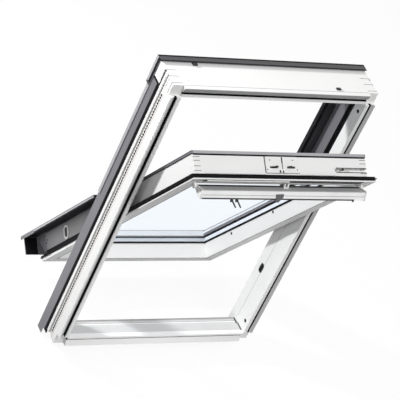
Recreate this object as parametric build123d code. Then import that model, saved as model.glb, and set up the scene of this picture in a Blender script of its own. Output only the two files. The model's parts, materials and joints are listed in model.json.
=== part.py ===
from build123d import *
import os
from math import hypot, sqrt

# A centre-pivot roof window: a timber frame with metal cladding, and a glazed sash that turns about
# a level axis half way up. X runs across the window, Y from the room to the sky, Z up the slope.
# Depths are measured from the frame's room face; the origin is the centre of the sill's underside.

# Overall sizes of the timber frame
FRAME_W = 780.0
FRAME_H = 1178.0
FRAME_D = 115.0

# Pose in which the window is built: sash open, control bar pulled down
OPEN_ANGLE = 31.15
FLAP_ANGLE = 37.0

# Overrun of every cut, sheet thickness and the clearance between lapping sheets
OVERRUN = 5.0
SHEET_T = 1.5
SHEET_GAP = 0.5

# Frame members
JAMB_T = 38.0
HEAD_T = 41.0
SILL_T = 42.0
STOP_Y = 50.0
JAMB_STEP = 2.0
HEAD_STEP = 2.0
SILL_STEP = 8.0
SILL_FLAT = 33.0
SILL_NOSE = 2.0
HEAD_RISE = 18.0
HEAD_LIP_CUT = 6.0
HEAD_LIP_D = 14.0
CORNER_L = 56.0
NOTCH_D = 16.0
FRAME_COMB_SHARES = (0.235, 0.515, 0.775)

# Groove for the room lining, with the sloping land outside it
LINING_W = 9.0
LINING_D = 12.0
JAMB_LAND = 16.0
HEAD_LAND = 20.0
SILL_LAND = 24.0
LAND_FALL = 6.0

# Groove along the outer side of the jambs, line along the head, seat of the seal and cladding
SIDE_GROOVE_Y = 46.0
SIDE_GROOVE_W = 22.0
SIDE_GROOVE_D = 5.0
HEAD_LINE_W = 1.5
SEAT_D = 4.0
SEAT_LAND = 12.0

# Pilot holes for the fixing brackets
FIXING_R = 2.0
FIXING_L = 24.0
HEAD_FIXING_INSET = 65.0
HEAD_FIXING_Y = 40.0
SIDE_FIXING_END = 77.0

# Seals of the frame
JAMB_SEAL_W = 18.0
JAMB_BEAD = 7.0
JAMB_SEAL_END = 10.0
JAMB_SEAL_TAIL = 18.0
FRAME_SEAL_Y = 51.0
FRAME_SEAL_W = 22.0
FRAME_SEAL_T = 3.0
FRAME_LIP_W = 3.0
FRAME_LIP_L = 4.0
FRAME_LIP_INSET = 2.0
FRAME_LIP_PITCH = 6.0

# Cladding of the frame
CLAD_RISE = 26.0
CLAD_W = 30.0
CLAD_FOOT = 7.0
LOWER_CLAD_W = 8.0
CLAD_TAIL = 45.0
CLAD_TAIL_STEP = 8.0
LINER_T = 1.2

# Covers that lap the joint between frame and sash
COVER_GAP = 2.5
COVER_LEG = 15.0
LOWER_COVER_LEG = 11.0
COVER_LAP = 36.0
UPPER_COVER_START = 12.0
LOWER_COVER_START = 25.0
LOWER_COVER_END = 100.0
COVER_INSET = 24.5
COVER_SEAL_W = 22.0
SASH_STRIP_W = 10.0
COVER_SEAL_INSET = 2.0

# Hood over the head
HOOD_RISE = 5.5
HOOD_STAND = 6.0
HOOD_LEG = 29.0
HOOD_LAP = 83.0
HOOD_RETURN = 102.0
HOOD_RETURN_LEG = 20.0

# Clip under the hood and catch on the head
CLIP_INSET = 120.0
CLIP_W = 16.0
CLIP_L = 10.0
CLIP_LAP = 6.0
CATCH_INSET = 153.0
CATCH_Y = 28.0
CATCH_W = 16.0
CATCH_L = 10.0
CATCH_T = 4.0

# Pivot, and the two hinge plates on it
PIVOT_RISE = 1.0
PIN_R = 5.0
PIN_PLAY = 0.05
HINGE_T = 3.0
HINGE_L = 130.0
HINGE_LAP = 53.0
HINGE_NECK = 16.0
HINGE_EYE_R = 8.0
SASH_EYE_R = 9.0
SASH_HINGE_FOOT = 19.5
EYE_PLAY = 0.3

# Sash members
SASH_Y = 42.0
SASH_DROP = 2.0
SIDE_GAP = 7.0
END_GAP = 4.0
RIM_T = 10.0
BODY_INSET = 17.5
STILE_W = 42.0
RAIL_W = 46.0
REBATE_D = 40.0
GLASS_WALL = 9.5
SASH_COMB_SHARES = (0.34, 0.495, 0.68, 0.804)

# Double glazing
TAPE_T = 1.5
TAPE_W = 15.0
PANE_T = 4.0
CAVITY_T = 16.0
PANE_PLAY = 2.0
SPACER_W = 8.0
SPACER_INSET = 5.0

# Fin seal round the sash
FIN_ROOT = 8.0
FIN_T = 3.0
FIN_SPLIT = 2.5
FIN_REACH = 5.0
FIN_SHORT = 3.0
FIN_RISE = 2.0

# Cladding of the sash
SASH_CLAD_LEG = 9.0
SASH_CLAD_W = 29.0
LIP_Z = 5.0
LIP_D = 66.0
LIP_INSET = 10.0
CHEEK_GAP = 5.0
SHEET_FOOT = 36.0

# Oval bushes
STILE_BUSH_FOOT = 1.0
STILE_BUSH_TOP = 10.0
STILE_BUSH_Z = 224.0
STILE_BUSH_SHARE = 0.68
STILE_BUSH_WALL = 7.0
STILE_BUSH_T = 2.5
JAMB_BUSH_Y = 80.0
JAMB_BUSH_Z = 295.0
JAMB_BUSH_L = 40.0
JAMB_BUSH_W = 20.0
JAMB_BUSH_WALL = 4.0
JAMB_BUSH_T = 6.0
JAMB_BUSH_PROUD = 1.5

# Lock: casing on the top rail, two claws, striker plate on the head
LOCK_HALF_L = 63.0
LOCK_FOOT = 10.5
LOCK_TOP = 14.0
LOCK_T = 3.0
LOCK_CORNER_R = 6.0
LOCK_SLIT_W = 3.0
LOCK_SLIT_L = 29.0
LOCK_SLIT_INSET = 2.5
LATCH_SHELF = 9.0
LATCH_T = 4.0
LATCH_X = 55.0
LATCH_SINK = 7.0
LATCH_REACH = 36.0
LATCH_RISE = 23.0
LATCH_ARM = 7.0
LATCH_TIP = 6.0
LATCH_EYE_R = 5.0
LATCH_PIN_R = 2.0
LATCH_PLAY = 1.5
LATCH_SLOT_L = 30.0
STRIKER_HALF_L = 75.0
STRIKER_W = 28.0
STRIKER_T = 3.0
STRIKER_POCKET = 8.0

# Barrel bolt with its slot, guide and bushes
BOLT_R = 4.0
BOLT_SHELF = 14.0
BOLT_SINK = 12.0
BOLT_SLOT_INSET = 98.0
BOLT_SLOT_W = 12.0
BOLT_START = 13.0
BOLT_END = 5.0
KNOB_X = 22.0
KNOB_R = 3.0
KNOB_CAP_R = 4.5
KNOB_CAP_T = 4.0
KNOB_RISE = 5.0
COLLAR_X = 33.0
COLLAR_L = 26.0
COLLAR_R = 5.5
GUIDE_L = 15.0
GUIDE_PLAY = 0.2
BUSH_Y = 22.0
BUSH_R = 7.0
BUSH_L = 18.0
BUSH_BORE_R = 4.6

# Control bar with the ventilation flap, its brackets and the slot behind it
FLAP_OUT = 9.0
FLAP_DOWN = 47.0
FLAP_L = 38.0
FLAP_T = 3.0
FLAP_EYE_R = 4.0
BAR_W = 30.0
BAR_T = 11.0
BAR_RISE = 3.5
BAR_ROUND_R = 4.0
BAR_GROOVE = 1.0
BAR_LAP = 5.0
CAP_T = 4.0
CAP_LIP = 1.0
CAP_ROUND_R = 6.0
STUB_R = 3.0
STUB_L = 8.0
BRACKET_H = 16.0
LINK_X = 15.0
LINK_W = 18.0
LINK_EAR = 5.0
LINK_Z = 8.0
LINK_H = 8.0
LINK_L = 16.5
VENT_END = 13.0
VENT_INSET = 5.0
VENT_H = 18.0
VENT_D = 18.0
FILTER_T = 7.0
ROD_R = 2.0
ROD_DOWN = 9.0

# Sizes that follow from the ones above
HALF_W = FRAME_W / 2
IN_X = HALF_W - JAMB_T
IN_Z0 = SILL_T
IN_Z1 = FRAME_H - HEAD_T
STOP_X = IN_X + JAMB_STEP
SILL_TOP = IN_Z0 - SILL_STEP
SILL_EDGE = STOP_Y + SILL_FLAT
CORNER_Z = FRAME_H - CORNER_L
SEAT_Y = SIDE_GROOVE_Y + SIDE_GROOVE_W + SEAT_LAND
CLAD_Y = FRAME_D + CLAD_RISE
COVER_Y = CLAD_Y + COVER_GAP
COVER_TOP = COVER_Y + SHEET_T
COVER_X = HALF_W + SHEET_GAP
LIP_X = HALF_W - LIP_INSET
HEAD_FIXING_X = HALF_W - HEAD_FIXING_INSET
CLIP_X = HALF_W - CLIP_INSET
CATCH_X = HALF_W - CATCH_INSET
PIVOT_Y = CLAD_Y + PIVOT_RISE
PIVOT_Z = FRAME_H / 2
HOOD_TOP = COVER_TOP + HOOD_RISE + SHEET_T
HOOD_X = COVER_X + SHEET_T + SHEET_GAP

RIM_X = IN_X - SIDE_GAP
RIM_Z0 = IN_Z0 + END_GAP
RIM_Z1 = IN_Z1 - END_GAP
BODY_X = RIM_X - BODY_INSET
BODY_Z0 = RIM_Z0 + BODY_INSET
BODY_Z1 = RIM_Z1 - BODY_INSET
BODY_Y = CLAD_Y - SASH_DROP
COVER_INNER_X = BODY_X - COVER_INSET
SIGHT_X = RIM_X - STILE_W
SIGHT_Z0 = RIM_Z0 + RAIL_W
SIGHT_Z1 = RIM_Z1 - RAIL_W
REBATE_X = BODY_X - GLASS_WALL
REBATE_Z0 = BODY_Z0 + GLASS_WALL
REBATE_Z1 = BODY_Z1 - GLASS_WALL
LEDGE_Y = BODY_Y - REBATE_D
INNER_PANE_Y = LEDGE_Y + TAPE_T
CAVITY_Y = INNER_PANE_Y + PANE_T
OUTER_PANE_Y = CAVITY_Y + CAVITY_T
GLASS_Y = OUTER_PANE_Y + PANE_T
SASH_TOP = BODY_Y + SHEET_T
FIN_Y = SASH_Y + RIM_T
FIN_END = FIN_Y + 2 * FIN_T + FIN_SPLIT
SHEET_Y = SASH_Y + SHEET_FOOT
SHEET_END = PIVOT_Z - HINGE_L / 2 - SHEET_GAP

BOLT_SLOT_X = SIGHT_X - BOLT_SLOT_INSET
BOLT_AXIS_Y = LEDGE_Y - BOLT_SHELF
BOLT_AXIS_Z = BODY_Z1 - BOLT_SINK
BOLT_REACH = hypot(PIVOT_Y - BOLT_AXIS_Y, BOLT_AXIS_Z - PIVOT_Z)
BUSH_DROP = sqrt(BOLT_REACH ** 2 - (PIVOT_Y - BUSH_Y) ** 2)
BAR_HALF_L = SIGHT_X + BAR_LAP
VENT_HALF_L = SIGHT_X - VENT_END
FLAP_Y = SASH_Y - FLAP_OUT
FLAP_Z = RIM_Z1 - FLAP_DOWN
LATCH_AXIS_Y = LEDGE_Y - LATCH_SHELF
LATCH_AXIS_Z = BODY_Z1 - LATCH_SINK


def block(x, y, z):
    """Box between two limits on each axis."""
    centre = [sum(limits) / 2 for limits in (x, y, z)]
    size = [max(limits) - min(limits) for limits in (x, y, z)]
    return Pos(*centre) * Box(*size)


def ring(outer, inner, y):
    """Rectangular ring in the window's plane; each rectangle is (half width, low z, high z)."""
    hole_y = (min(y) - OVERRUN, max(y) + OVERRUN)
    outside = block((-outer[0], outer[0]), y, outer[1:])
    return outside - block((-inner[0], inner[0]), hole_y, inner[1:])


def prism_z(points, z):
    """Outline in X and Y, drawn out along Z."""
    outline = Polyline(*[(px, py, min(z)) for px, py in points], close=True)
    return extrude(make_face(outline), max(z) - min(z), dir=(0, 0, 1))


def prism_x(points, x):
    """Outline in Y and Z, drawn out along X."""
    outline = Polyline(*[(min(x), py, pz) for py, pz in points], close=True)
    return extrude(make_face(outline), max(x) - min(x), dir=(1, 0, 0))


def rod_x(radius, x, y, z):
    """Round bar along X."""
    length = max(x) - min(x)
    return Pos(min(x) + length / 2, y, z) * Rot(0, 90, 0) * Cylinder(radius, length)


def slot_x(length, width, x, y, z, along):
    """Round-ended bar along X, long in the given direction."""
    bar = extrude(SlotOverall(length, width), max(x) - min(x))
    return Plane((min(x), y, z), x_dir=along, z_dir=(1, 0, 0)) * bar


def mirrored(shape):
    return mirror(shape, about=Plane.YZ)


def comb(body, outer, inner, y, shares):
    """Cut a ring into head, sill and two sides whose corners are finger joints."""
    edges = [min(y)] + [min(y) + share * (max(y) - min(y)) for share in shares] + [max(y)]
    layers = list(zip(edges[:-1], edges[1:]))
    ends = ((inner[2], outer[2]), (outer[1], inner[1]))
    sides = ((-outer[0], -inner[0]), (inner[0], outer[0]))
    pieces = []
    for z in ends:
        region = block((-outer[0], outer[0]), y, z)
        for layer in layers[::2]:
            for x in sides:
                region -= block(x, layer, z)
        pieces.append(body & region)
    for x in sides:
        region = block(x, y, outer[1:])
        for layer in layers[1::2]:
            for z in ends:
                region -= block(x, layer, z)
        pieces.append(body & region)
    return pieces


def frame_timber():
    """Head, sill, left jamb and right jamb."""
    outer = (HALF_W, 0, FRAME_H)
    inner = (IN_X, IN_Z0, IN_Z1)
    through = (-OVERRUN, FRAME_D + OVERRUN)
    past = (-OVERRUN, FRAME_H + OVERRUN)
    body = ring(outer, inner, (0, FRAME_D))
    body -= block((-STOP_X, STOP_X), (STOP_Y, max(through)), (SILL_TOP, IN_Z1 + HEAD_STEP))
    slope = [
        (SILL_EDGE, SILL_TOP + OVERRUN),
        (SILL_EDGE, SILL_TOP),
        (FRAME_D, SILL_NOSE),
        (max(through), SILL_NOSE),
        (max(through), SILL_TOP + OVERRUN),
    ]
    body -= prism_x(slope, (-STOP_X, STOP_X))
    bevel = [
        (-OVERRUN, IN_Z1 - OVERRUN),
        (-OVERRUN, IN_Z1 + HEAD_LIP_CUT),
        (0, IN_Z1 + HEAD_LIP_CUT),
        (HEAD_LIP_D, IN_Z1),
        (HEAD_LIP_D, IN_Z1 - OVERRUN),
    ]
    body -= prism_x(bevel, (-IN_X, IN_X))
    land = (HALF_W - JAMB_LAND, SILL_LAND, FRAME_H - HEAD_LAND)
    lip = (land[0] - LINING_W, land[1] + LINING_W, land[2] - LINING_W)
    body -= ring(land, lip, (-OVERRUN, LINING_D))
    fall = ((0, 0), (-OVERRUN, 0), (-OVERRUN, 1), (LAND_FALL, 1))
    for side in (-1, 1):
        wedge = [(side * (HALF_W - JAMB_LAND * share), py) for py, share in fall]
        body -= prism_z(wedge, past)
        for z in ((-OVERRUN, IN_Z0), (IN_Z1, max(past))):
            body -= block((side * IN_X, side * (HALF_W + OVERRUN)), (-OVERRUN, NOTCH_D), z)
        groove = (SIDE_GROOVE_Y, SIDE_GROOVE_Y + SIDE_GROOVE_W)
        body -= block((side * (HALF_W - SIDE_GROOVE_D), side * (HALF_W + OVERRUN)), groove, past)
        seat = (side * (HALF_W - SEAT_D), side * (HALF_W + OVERRUN))
        body -= block(seat, (SEAT_Y, SEAT_Y + JAMB_BEAD), past)
        body -= block(seat, (SEAT_Y, max(through)), (-OVERRUN, CORNER_Z))
        for z in (SIDE_FIXING_END, FRAME_H - SIDE_FIXING_END):
            reach = (side * (HALF_W - FIXING_L), side * (HALF_W + OVERRUN))
            body -= rod_x(FIXING_R, reach, SEAT_Y - SEAT_LAND / 2, z)
        hole = Cylinder(FIXING_R, FIXING_L + OVERRUN)
        height = FRAME_H + (OVERRUN - FIXING_L) / 2
        body -= Pos(side * HEAD_FIXING_X, HEAD_FIXING_Y, height) * hole
        pocket = (side * (STOP_X - OVERRUN), side * (STOP_X + HINGE_T))
        half = HINGE_L / 2
        body -= block(pocket, (FRAME_D - HINGE_LAP, max(through)), (PIVOT_Z - half, PIVOT_Z + half))
        recess = (side * (STOP_X - OVERRUN), side * (STOP_X + JAMB_BUSH_T - JAMB_BUSH_PROUD))
        body -= slot_x(JAMB_BUSH_L, JAMB_BUSH_W, recess, JAMB_BUSH_Y, JAMB_BUSH_Z, (0, 0, 1))
    body -= prism_x([(py, SILL_LAND * share) for py, share in fall], (-IN_X, IN_X))
    body -= prism_x([(py, FRAME_H - HEAD_LAND * share) for py, share in fall], (-IN_X, IN_X))
    line = (NOTCH_D, NOTCH_D + HEAD_LINE_W)
    body -= block((-IN_X, IN_X), line, (FRAME_H - HEAD_LINE_W, max(past)))
    for drop in (-BUSH_DROP, BUSH_DROP):
        body -= rod_x(BUSH_R, (IN_X - OVERRUN, IN_X + BUSH_L), BUSH_Y, PIVOT_Z + drop)
    body -= bolt_hole()
    step = IN_Z1 + HEAD_STEP
    for side in (-1, 1):
        swing_x, swing_y = latch_slot(side, LATCH_T)
        body -= block(swing_x, swing_y, (step - OVERRUN, step + STRIKER_POCKET))
    head, *others = comb(body, outer, inner, (0, FRAME_D), FRAME_COMB_SHARES)
    return [head + head_rise()] + others


def head_rise():
    """Outer part of the head, which also laps the ends of the jambs."""
    y = (FRAME_D, FRAME_D + HEAD_RISE)
    bar = block((-HALF_W, HALF_W), y, (IN_Z1 + HEAD_STEP, FRAME_H))
    for side in (-1, 1):
        bar += block((side * STOP_X, side * HALF_W), y, (CORNER_Z, FRAME_H))
    return bar


def jamb_seal():
    """Right-hand seal of two beads under the jamb cladding, turned up across the cladding's end."""
    x = (HALF_W - SEAT_D, HALF_W)
    low = -JAMB_SEAL_TAIL
    strip = block(x, (SEAT_Y, SEAT_Y + JAMB_SEAL_W), (low, CORNER_Z))
    slit = (SEAT_Y + JAMB_BEAD, SEAT_Y + JAMB_SEAL_W - JAMB_BEAD)
    strip -= block((HALF_W - SEAT_D / 2, HALF_W + OVERRUN), slit, (low - OVERRUN, CORNER_Z + OVERRUN))
    strip += block(x, (SEAT_Y, SEAT_Y + JAMB_BEAD), (CORNER_Z, FRAME_H))
    return strip + block(x, (SEAT_Y, CLAD_Y), (CORNER_Z - JAMB_SEAL_END, CORNER_Z))


def frame_seal():
    """Two-lipped seal round the upper half of the opening, standing on the stepped faces."""
    low = PIVOT_Z + HINGE_L / 2 + SHEET_GAP
    high = IN_Z1 + HEAD_STEP
    y = (FRAME_SEAL_Y, FRAME_SEAL_Y + FRAME_SEAL_W)

    def arch(stand_off, thickness, depth):
        outside = block((-STOP_X + stand_off, STOP_X - stand_off), depth, (low, high - stand_off))
        inside = stand_off + thickness
        past = (min(depth) - OVERRUN, max(depth) + OVERRUN)
        return outside - block((-STOP_X + inside, STOP_X - inside), past, (low - OVERRUN, high - inside))

    seal = arch(0, FRAME_SEAL_T, y)
    last = max(y) - FRAME_LIP_INSET - FRAME_LIP_W
    for start in (last - FRAME_LIP_PITCH, last):
        seal += arch(FRAME_SEAL_T, FRAME_LIP_L, (start, start + FRAME_LIP_W))
    return seal


def jamb_cladding():
    """Right-hand folded cladding with a tail below the sill; above the pivot it is wide, with a foot."""
    inside = HALF_W - CLAD_W
    narrow = HALF_W - LOWER_CLAD_W
    low = SEAT_Y + JAMB_SEAL_W
    points = [
        (HALF_W, low),
        (HALF_W, CLAD_Y),
        (inside, CLAD_Y),
        (inside, FRAME_D),
        (inside + CLAD_FOOT, FRAME_D),
        (inside + CLAD_FOOT, FRAME_D + SHEET_T),
        (inside + SHEET_T, FRAME_D + SHEET_T),
        (inside + SHEET_T, CLAD_Y - SHEET_T),
        (HALF_W - SHEET_T, CLAD_Y - SHEET_T),
        (HALF_W - SHEET_T, low),
    ]
    fold = [
        (HALF_W, low),
        (HALF_W, CLAD_Y),
        (narrow, CLAD_Y),
        (narrow, CLAD_Y - SHEET_T),
        (HALF_W - SHEET_T, CLAD_Y - SHEET_T),
        (HALF_W - SHEET_T, low),
    ]
    sheet = prism_z(points, (PIVOT_Z, CORNER_Z - JAMB_SEAL_END)) + prism_z(fold, (-CLAD_TAIL, PIVOT_Z))
    step = (low - OVERRUN, low + CLAD_TAIL_STEP)
    return sheet - block((narrow, HALF_W + OVERRUN), step, (-CLAD_TAIL - OVERRUN, -JAMB_SEAL_TAIL))


def jamb_liner():
    """Right-hand sheet on the jamb's inner face above the hinge, between the seal and the cladding."""
    low = PIVOT_Z + HINGE_L / 2 + SHEET_GAP
    y = (FRAME_SEAL_Y + FRAME_SEAL_W + SHEET_GAP, FRAME_D)
    return block((STOP_X - LINER_T, STOP_X), y, (low, IN_Z1 + HEAD_STEP))


def bolt_hole():
    """Clearance for the bolt in the right jamb when the sash is shut."""
    return rod_x(BUSH_BORE_R, (IN_X - OVERRUN, IN_X + BUSH_L), BOLT_AXIS_Y, BOLT_AXIS_Z)


def sill_cladding():
    """Folded sheet on the sill's slope, turned down over its nose."""
    run = FRAME_D - SILL_EDGE
    drop = SILL_TOP - SILL_NOSE
    lift = (SHEET_T * drop / hypot(run, drop), SHEET_T * run / hypot(run, drop))
    nose = SILL_NOSE + lift[1] - (SHEET_T - lift[0]) * drop / run
    points = [
        (SILL_EDGE, SILL_TOP),
        (SILL_EDGE + lift[0], SILL_TOP + lift[1]),
        (FRAME_D + SHEET_T, nose),
        (FRAME_D + SHEET_T, 0),
        (FRAME_D, 0),
        (FRAME_D, SILL_NOSE),
    ]
    return prism_x(points, (-STOP_X, STOP_X))


def upper_side_cover():
    """Right-hand cover on the frame, lapping the sash above the pivot."""
    inside = IN_X - COVER_LAP
    points = [
        (COVER_X, COVER_Y - COVER_LEG),
        (COVER_X + SHEET_T, COVER_Y - COVER_LEG),
        (COVER_X + SHEET_T, COVER_TOP),
        (inside, COVER_TOP),
        (inside, COVER_Y),
        (COVER_X, COVER_Y),
    ]
    return prism_z(points, (PIVOT_Z + UPPER_COVER_START, FRAME_H))


def cover_seal():
    """Right-hand strips under the upper cover: one on the jamb cladding, one over the sash."""
    z = (PIVOT_Z + UPPER_COVER_START, FRAME_H)
    inside = IN_X - COVER_LAP + COVER_SEAL_INSET
    over_sash = block((inside, inside + SASH_STRIP_W), (COVER_Y - COVER_GAP, COVER_Y), z)
    middle = HALF_W - CLAD_W / 2
    half = COVER_SEAL_W / 2
    return Compound([over_sash, block((middle - half, middle + half), (CLAD_Y, COVER_Y), z)])


def head_cover():
    """Hood over the head: back leg, roof sheet, front lip and two side returns."""
    stand = FRAME_H + HOOD_STAND
    back = stand + SHEET_T
    front = FRAME_H - HOOD_LAP
    points = [
        (HOOD_TOP - HOOD_LEG, stand),
        (HOOD_TOP - HOOD_LEG, back),
        (HOOD_TOP, back),
        (HOOD_TOP, front),
        (COVER_TOP, front),
        (COVER_TOP, front + SHEET_T),
        (HOOD_TOP - SHEET_T, front + SHEET_T),
        (HOOD_TOP - SHEET_T, stand),
    ]
    hood = prism_x(points, (-HOOD_X, HOOD_X))
    for side in (-1, 1):
        wall = (side * HOOD_X, side * (HOOD_X + SHEET_T))
        hood += block(wall, (HOOD_TOP - HOOD_RETURN_LEG, HOOD_TOP), (FRAME_H - HOOD_RETURN, back))
    return hood


def hinge_frame():
    """Right-hand plate let into the jamb, rising to the eye that holds the pivot pin."""
    x = (STOP_X, STOP_X + HINGE_T)
    half = HINGE_L / 2
    plate = block(x, (FRAME_D - HINGE_LAP, FRAME_D), (PIVOT_Z - half, PIVOT_Z + half))
    neck = HINGE_NECK / 2
    plate += block(x, (FRAME_D, PIVOT_Y), (PIVOT_Z - neck, PIVOT_Z + neck))
    plate += rod_x(HINGE_EYE_R, x, PIVOT_Y, PIVOT_Z)
    return plate + rod_x(PIN_R, (BODY_X + EYE_PLAY, max(x)), PIVOT_Y, PIVOT_Z)


def hinge_sash():
    """Right-hand plate on the stile, with the eye that turns on the pivot pin."""
    x = (BODY_X, BODY_X + HINGE_T)
    half = HINGE_L / 2
    plate = block(x, (FIN_END + SASH_HINGE_FOOT, BODY_Y), (PIVOT_Z - half, PIVOT_Z + half))
    plate += block(x, (BODY_Y, PIVOT_Y), (PIVOT_Z - SASH_EYE_R, PIVOT_Z + SASH_EYE_R))
    plate += rod_x(SASH_EYE_R, (BODY_X, STOP_X - EYE_PLAY), PIVOT_Y, PIVOT_Z)
    return plate - rod_x(PIN_R + PIN_PLAY, (BODY_X - OVERRUN, STOP_X), PIVOT_Y, PIVOT_Z)


def latch_slot(side, y_play):
    """Limits in X and Y of the opening in which a claw swings."""
    near = LATCH_X - LATCH_REACH - LATCH_PLAY
    half = LATCH_T / 2 + y_play
    return (side * near, side * (near + LATCH_SLOT_L)), (LATCH_AXIS_Y - half, LATCH_AXIS_Y + half)


def striker_plate():
    """Plate on the head's inner face, with a slot over each claw."""
    top = IN_Z1 + HEAD_STEP
    low = FRAME_SEAL_Y + FRAME_SEAL_W + SHEET_GAP
    plate = block((-STRIKER_HALF_L, STRIKER_HALF_L), (low, low + STRIKER_W), (top - STRIKER_T, top))
    for side in (-1, 1):
        swing_x, swing_y = latch_slot(side, LATCH_T)
        plate -= block(swing_x, swing_y, (top - STRIKER_T - OVERRUN, top + OVERRUN))
    return plate


def bolt_bushes():
    """Two flanged-flush bushes in the right jamb."""
    bushes = []
    for drop in (-BUSH_DROP, BUSH_DROP):
        z = PIVOT_Z + drop
        bush = rod_x(BUSH_R, (IN_X, IN_X + BUSH_L), BUSH_Y, z)
        bushes.append(bush - rod_x(BUSH_BORE_R, (IN_X - OVERRUN, IN_X + BUSH_L + OVERRUN), BUSH_Y, z))
    return Compound(bushes)


def oval_bush(length, width, wall, x, y, z, along):
    """Round-ended ring on a side face."""
    bore = slot_x(length - 2 * wall, width - 2 * wall, (min(x) - OVERRUN, max(x) + OVERRUN), y, z, along)
    return slot_x(length, width, x, y, z, along) - bore


def cover_clip():
    """Clip on the head that holds the hood's back leg off it."""
    top = HOOD_TOP - HOOD_LEG
    x = (-CLIP_X - CLIP_W / 2, -CLIP_X + CLIP_W / 2)
    return block(x, (top - CLIP_L, top + CLIP_LAP), (FRAME_H, FRAME_H + HOOD_STAND))


def head_catch():
    x = (CATCH_X - CATCH_W / 2, CATCH_X + CATCH_W / 2)
    y = (CATCH_Y - CATCH_L / 2, CATCH_Y + CATCH_L / 2)
    return block(x, y, (FRAME_H, FRAME_H + CATCH_T))


def sash_timber():
    """Top rail, bottom rail, left stile and right stile."""
    rim = (RIM_X, RIM_Z0, RIM_Z1)
    trunk = (BODY_X, BODY_Z0, BODY_Z1)
    sight = (SIGHT_X, SIGHT_Z0, SIGHT_Z1)
    body = ring(rim, sight, (SASH_Y, SASH_Y + RIM_T)) + ring(trunk, sight, (SASH_Y + RIM_T, BODY_Y))
    body -= block((-REBATE_X, REBATE_X), (LEDGE_Y, BODY_Y + OVERRUN), (REBATE_Z0, REBATE_Z1))
    low = SIGHT_Z1 + VENT_INSET
    vent_y = (SASH_Y - OVERRUN, SASH_Y + VENT_D)
    body -= block((-VENT_HALF_L, VENT_HALF_L), vent_y, (low, low + VENT_H))
    half = BOLT_SLOT_W / 2
    slot = (BOLT_SLOT_X + half, RIM_X)
    body -= block(slot, (BOLT_AXIS_Y - half, BOLT_AXIS_Y + half), (BOLT_AXIS_Z, BODY_Z1 + OVERRUN))
    body -= rod_x(half, slot, BOLT_AXIS_Y, BOLT_AXIS_Z)
    depth = BOLT_SINK + half
    middle = BODY_Z1 - depth / 2 + OVERRUN / 2
    body -= Pos(min(slot), BOLT_AXIS_Y, middle) * Cylinder(half, depth + OVERRUN)
    for side in (-1, 1):
        swing_x, swing_y = latch_slot(side, LATCH_PLAY)
        reach = (swing_x[0], side * (LATCH_X + LATCH_EYE_R + LATCH_PLAY))
        floor = LATCH_AXIS_Z - LATCH_EYE_R - LATCH_PLAY
        body -= block(reach, swing_y, (floor, BODY_Z1 + OVERRUN))
    return comb(body, rim, sight, (SASH_Y, BODY_Y), SASH_COMB_SHARES)


def pane(y):
    """Sheet of glass that fills the rebate less its play."""
    x = REBATE_X - PANE_PLAY
    return block((-x, x), (y, y + PANE_T), (REBATE_Z0 + PANE_PLAY, REBATE_Z1 - PANE_PLAY))


def glass_ring(inset, width, y):
    """Ring that follows the edge of the panes."""
    x = REBATE_X - PANE_PLAY - inset
    z0 = REBATE_Z0 + PANE_PLAY + inset
    z1 = REBATE_Z1 - PANE_PLAY - inset
    return ring((x, z0, z1), (x - width, z0 + width, z1 - width), y)


def sash_seal():
    """Fin seal in the shoulder behind the rim: a root, two fins, and a foot below each stile's sheet."""
    trunk = (BODY_X, BODY_Z0, BODY_Z1)
    root = (BODY_X + FIN_ROOT, BODY_Z0 - FIN_ROOT, BODY_Z1 + FIN_ROOT)
    long_fin = (RIM_X + FIN_REACH, RIM_Z0 - FIN_RISE / 2, RIM_Z1 + FIN_RISE)
    short_fin = (RIM_X + FIN_REACH - FIN_SHORT, RIM_Z0 - FIN_RISE / 2, RIM_Z1 + FIN_RISE - FIN_SHORT)
    second = FIN_Y + FIN_T + FIN_SPLIT
    seal = ring(root, trunk, (FIN_Y, FIN_END))
    seal += ring(long_fin, trunk, (FIN_Y, FIN_Y + FIN_T))
    seal += ring(short_fin, trunk, (second, FIN_END))
    for side in (-1, 1):
        foot = (side * BODY_X, side * (BODY_X + SHEET_T))
        seal += block(foot, (FIN_END, SHEET_Y), (BODY_Z0, SHEET_END))
    return seal


def sash_side_cladding():
    """Right-hand sheet on the stile: bead on the glass, flat top, and a side leg above the hinge."""
    inside = BODY_X - SASH_CLAD_W
    top = [
        (BODY_X, BODY_Y),
        (BODY_X, SASH_TOP),
        (inside, SASH_TOP),
        (inside, GLASS_Y),
        (inside + SHEET_T, GLASS_Y),
        (inside + SHEET_T, BODY_Y),
    ]
    sheet = prism_z(top, (SIGHT_Z0, SIGHT_Z1))
    leg_z = (PIVOT_Z + HINGE_L / 2 + SHEET_GAP, BODY_Z1)
    leg = block((BODY_X, BODY_X + SHEET_T), (BODY_Y - SASH_CLAD_LEG, SASH_TOP), leg_z)
    return sheet + leg


def sash_top_cladding():
    """Sheet on the top rail: bead on the glass, flat top and outer leg."""
    points = [
        (GLASS_Y, SIGHT_Z1),
        (SASH_TOP, SIGHT_Z1),
        (SASH_TOP, BODY_Z1 + SHEET_T),
        (BODY_Y - SASH_CLAD_LEG, BODY_Z1 + SHEET_T),
        (BODY_Y - SASH_CLAD_LEG, BODY_Z1),
        (BODY_Y, BODY_Z1),
        (BODY_Y, SIGHT_Z1 + SHEET_T),
        (GLASS_Y, SIGHT_Z1 + SHEET_T),
    ]
    inside = BODY_X - SASH_CLAD_W
    bead = prism_x(points, (-inside, inside))
    half = BODY_X + SHEET_T
    leg = block((-half, half), (BODY_Y - SASH_CLAD_LEG, SASH_TOP), (BODY_Z1, BODY_Z1 + SHEET_T))
    cap = block((-BODY_X, BODY_X), (BODY_Y, SASH_TOP), (SIGHT_Z1, BODY_Z1))
    return bead + leg + cap


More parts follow.
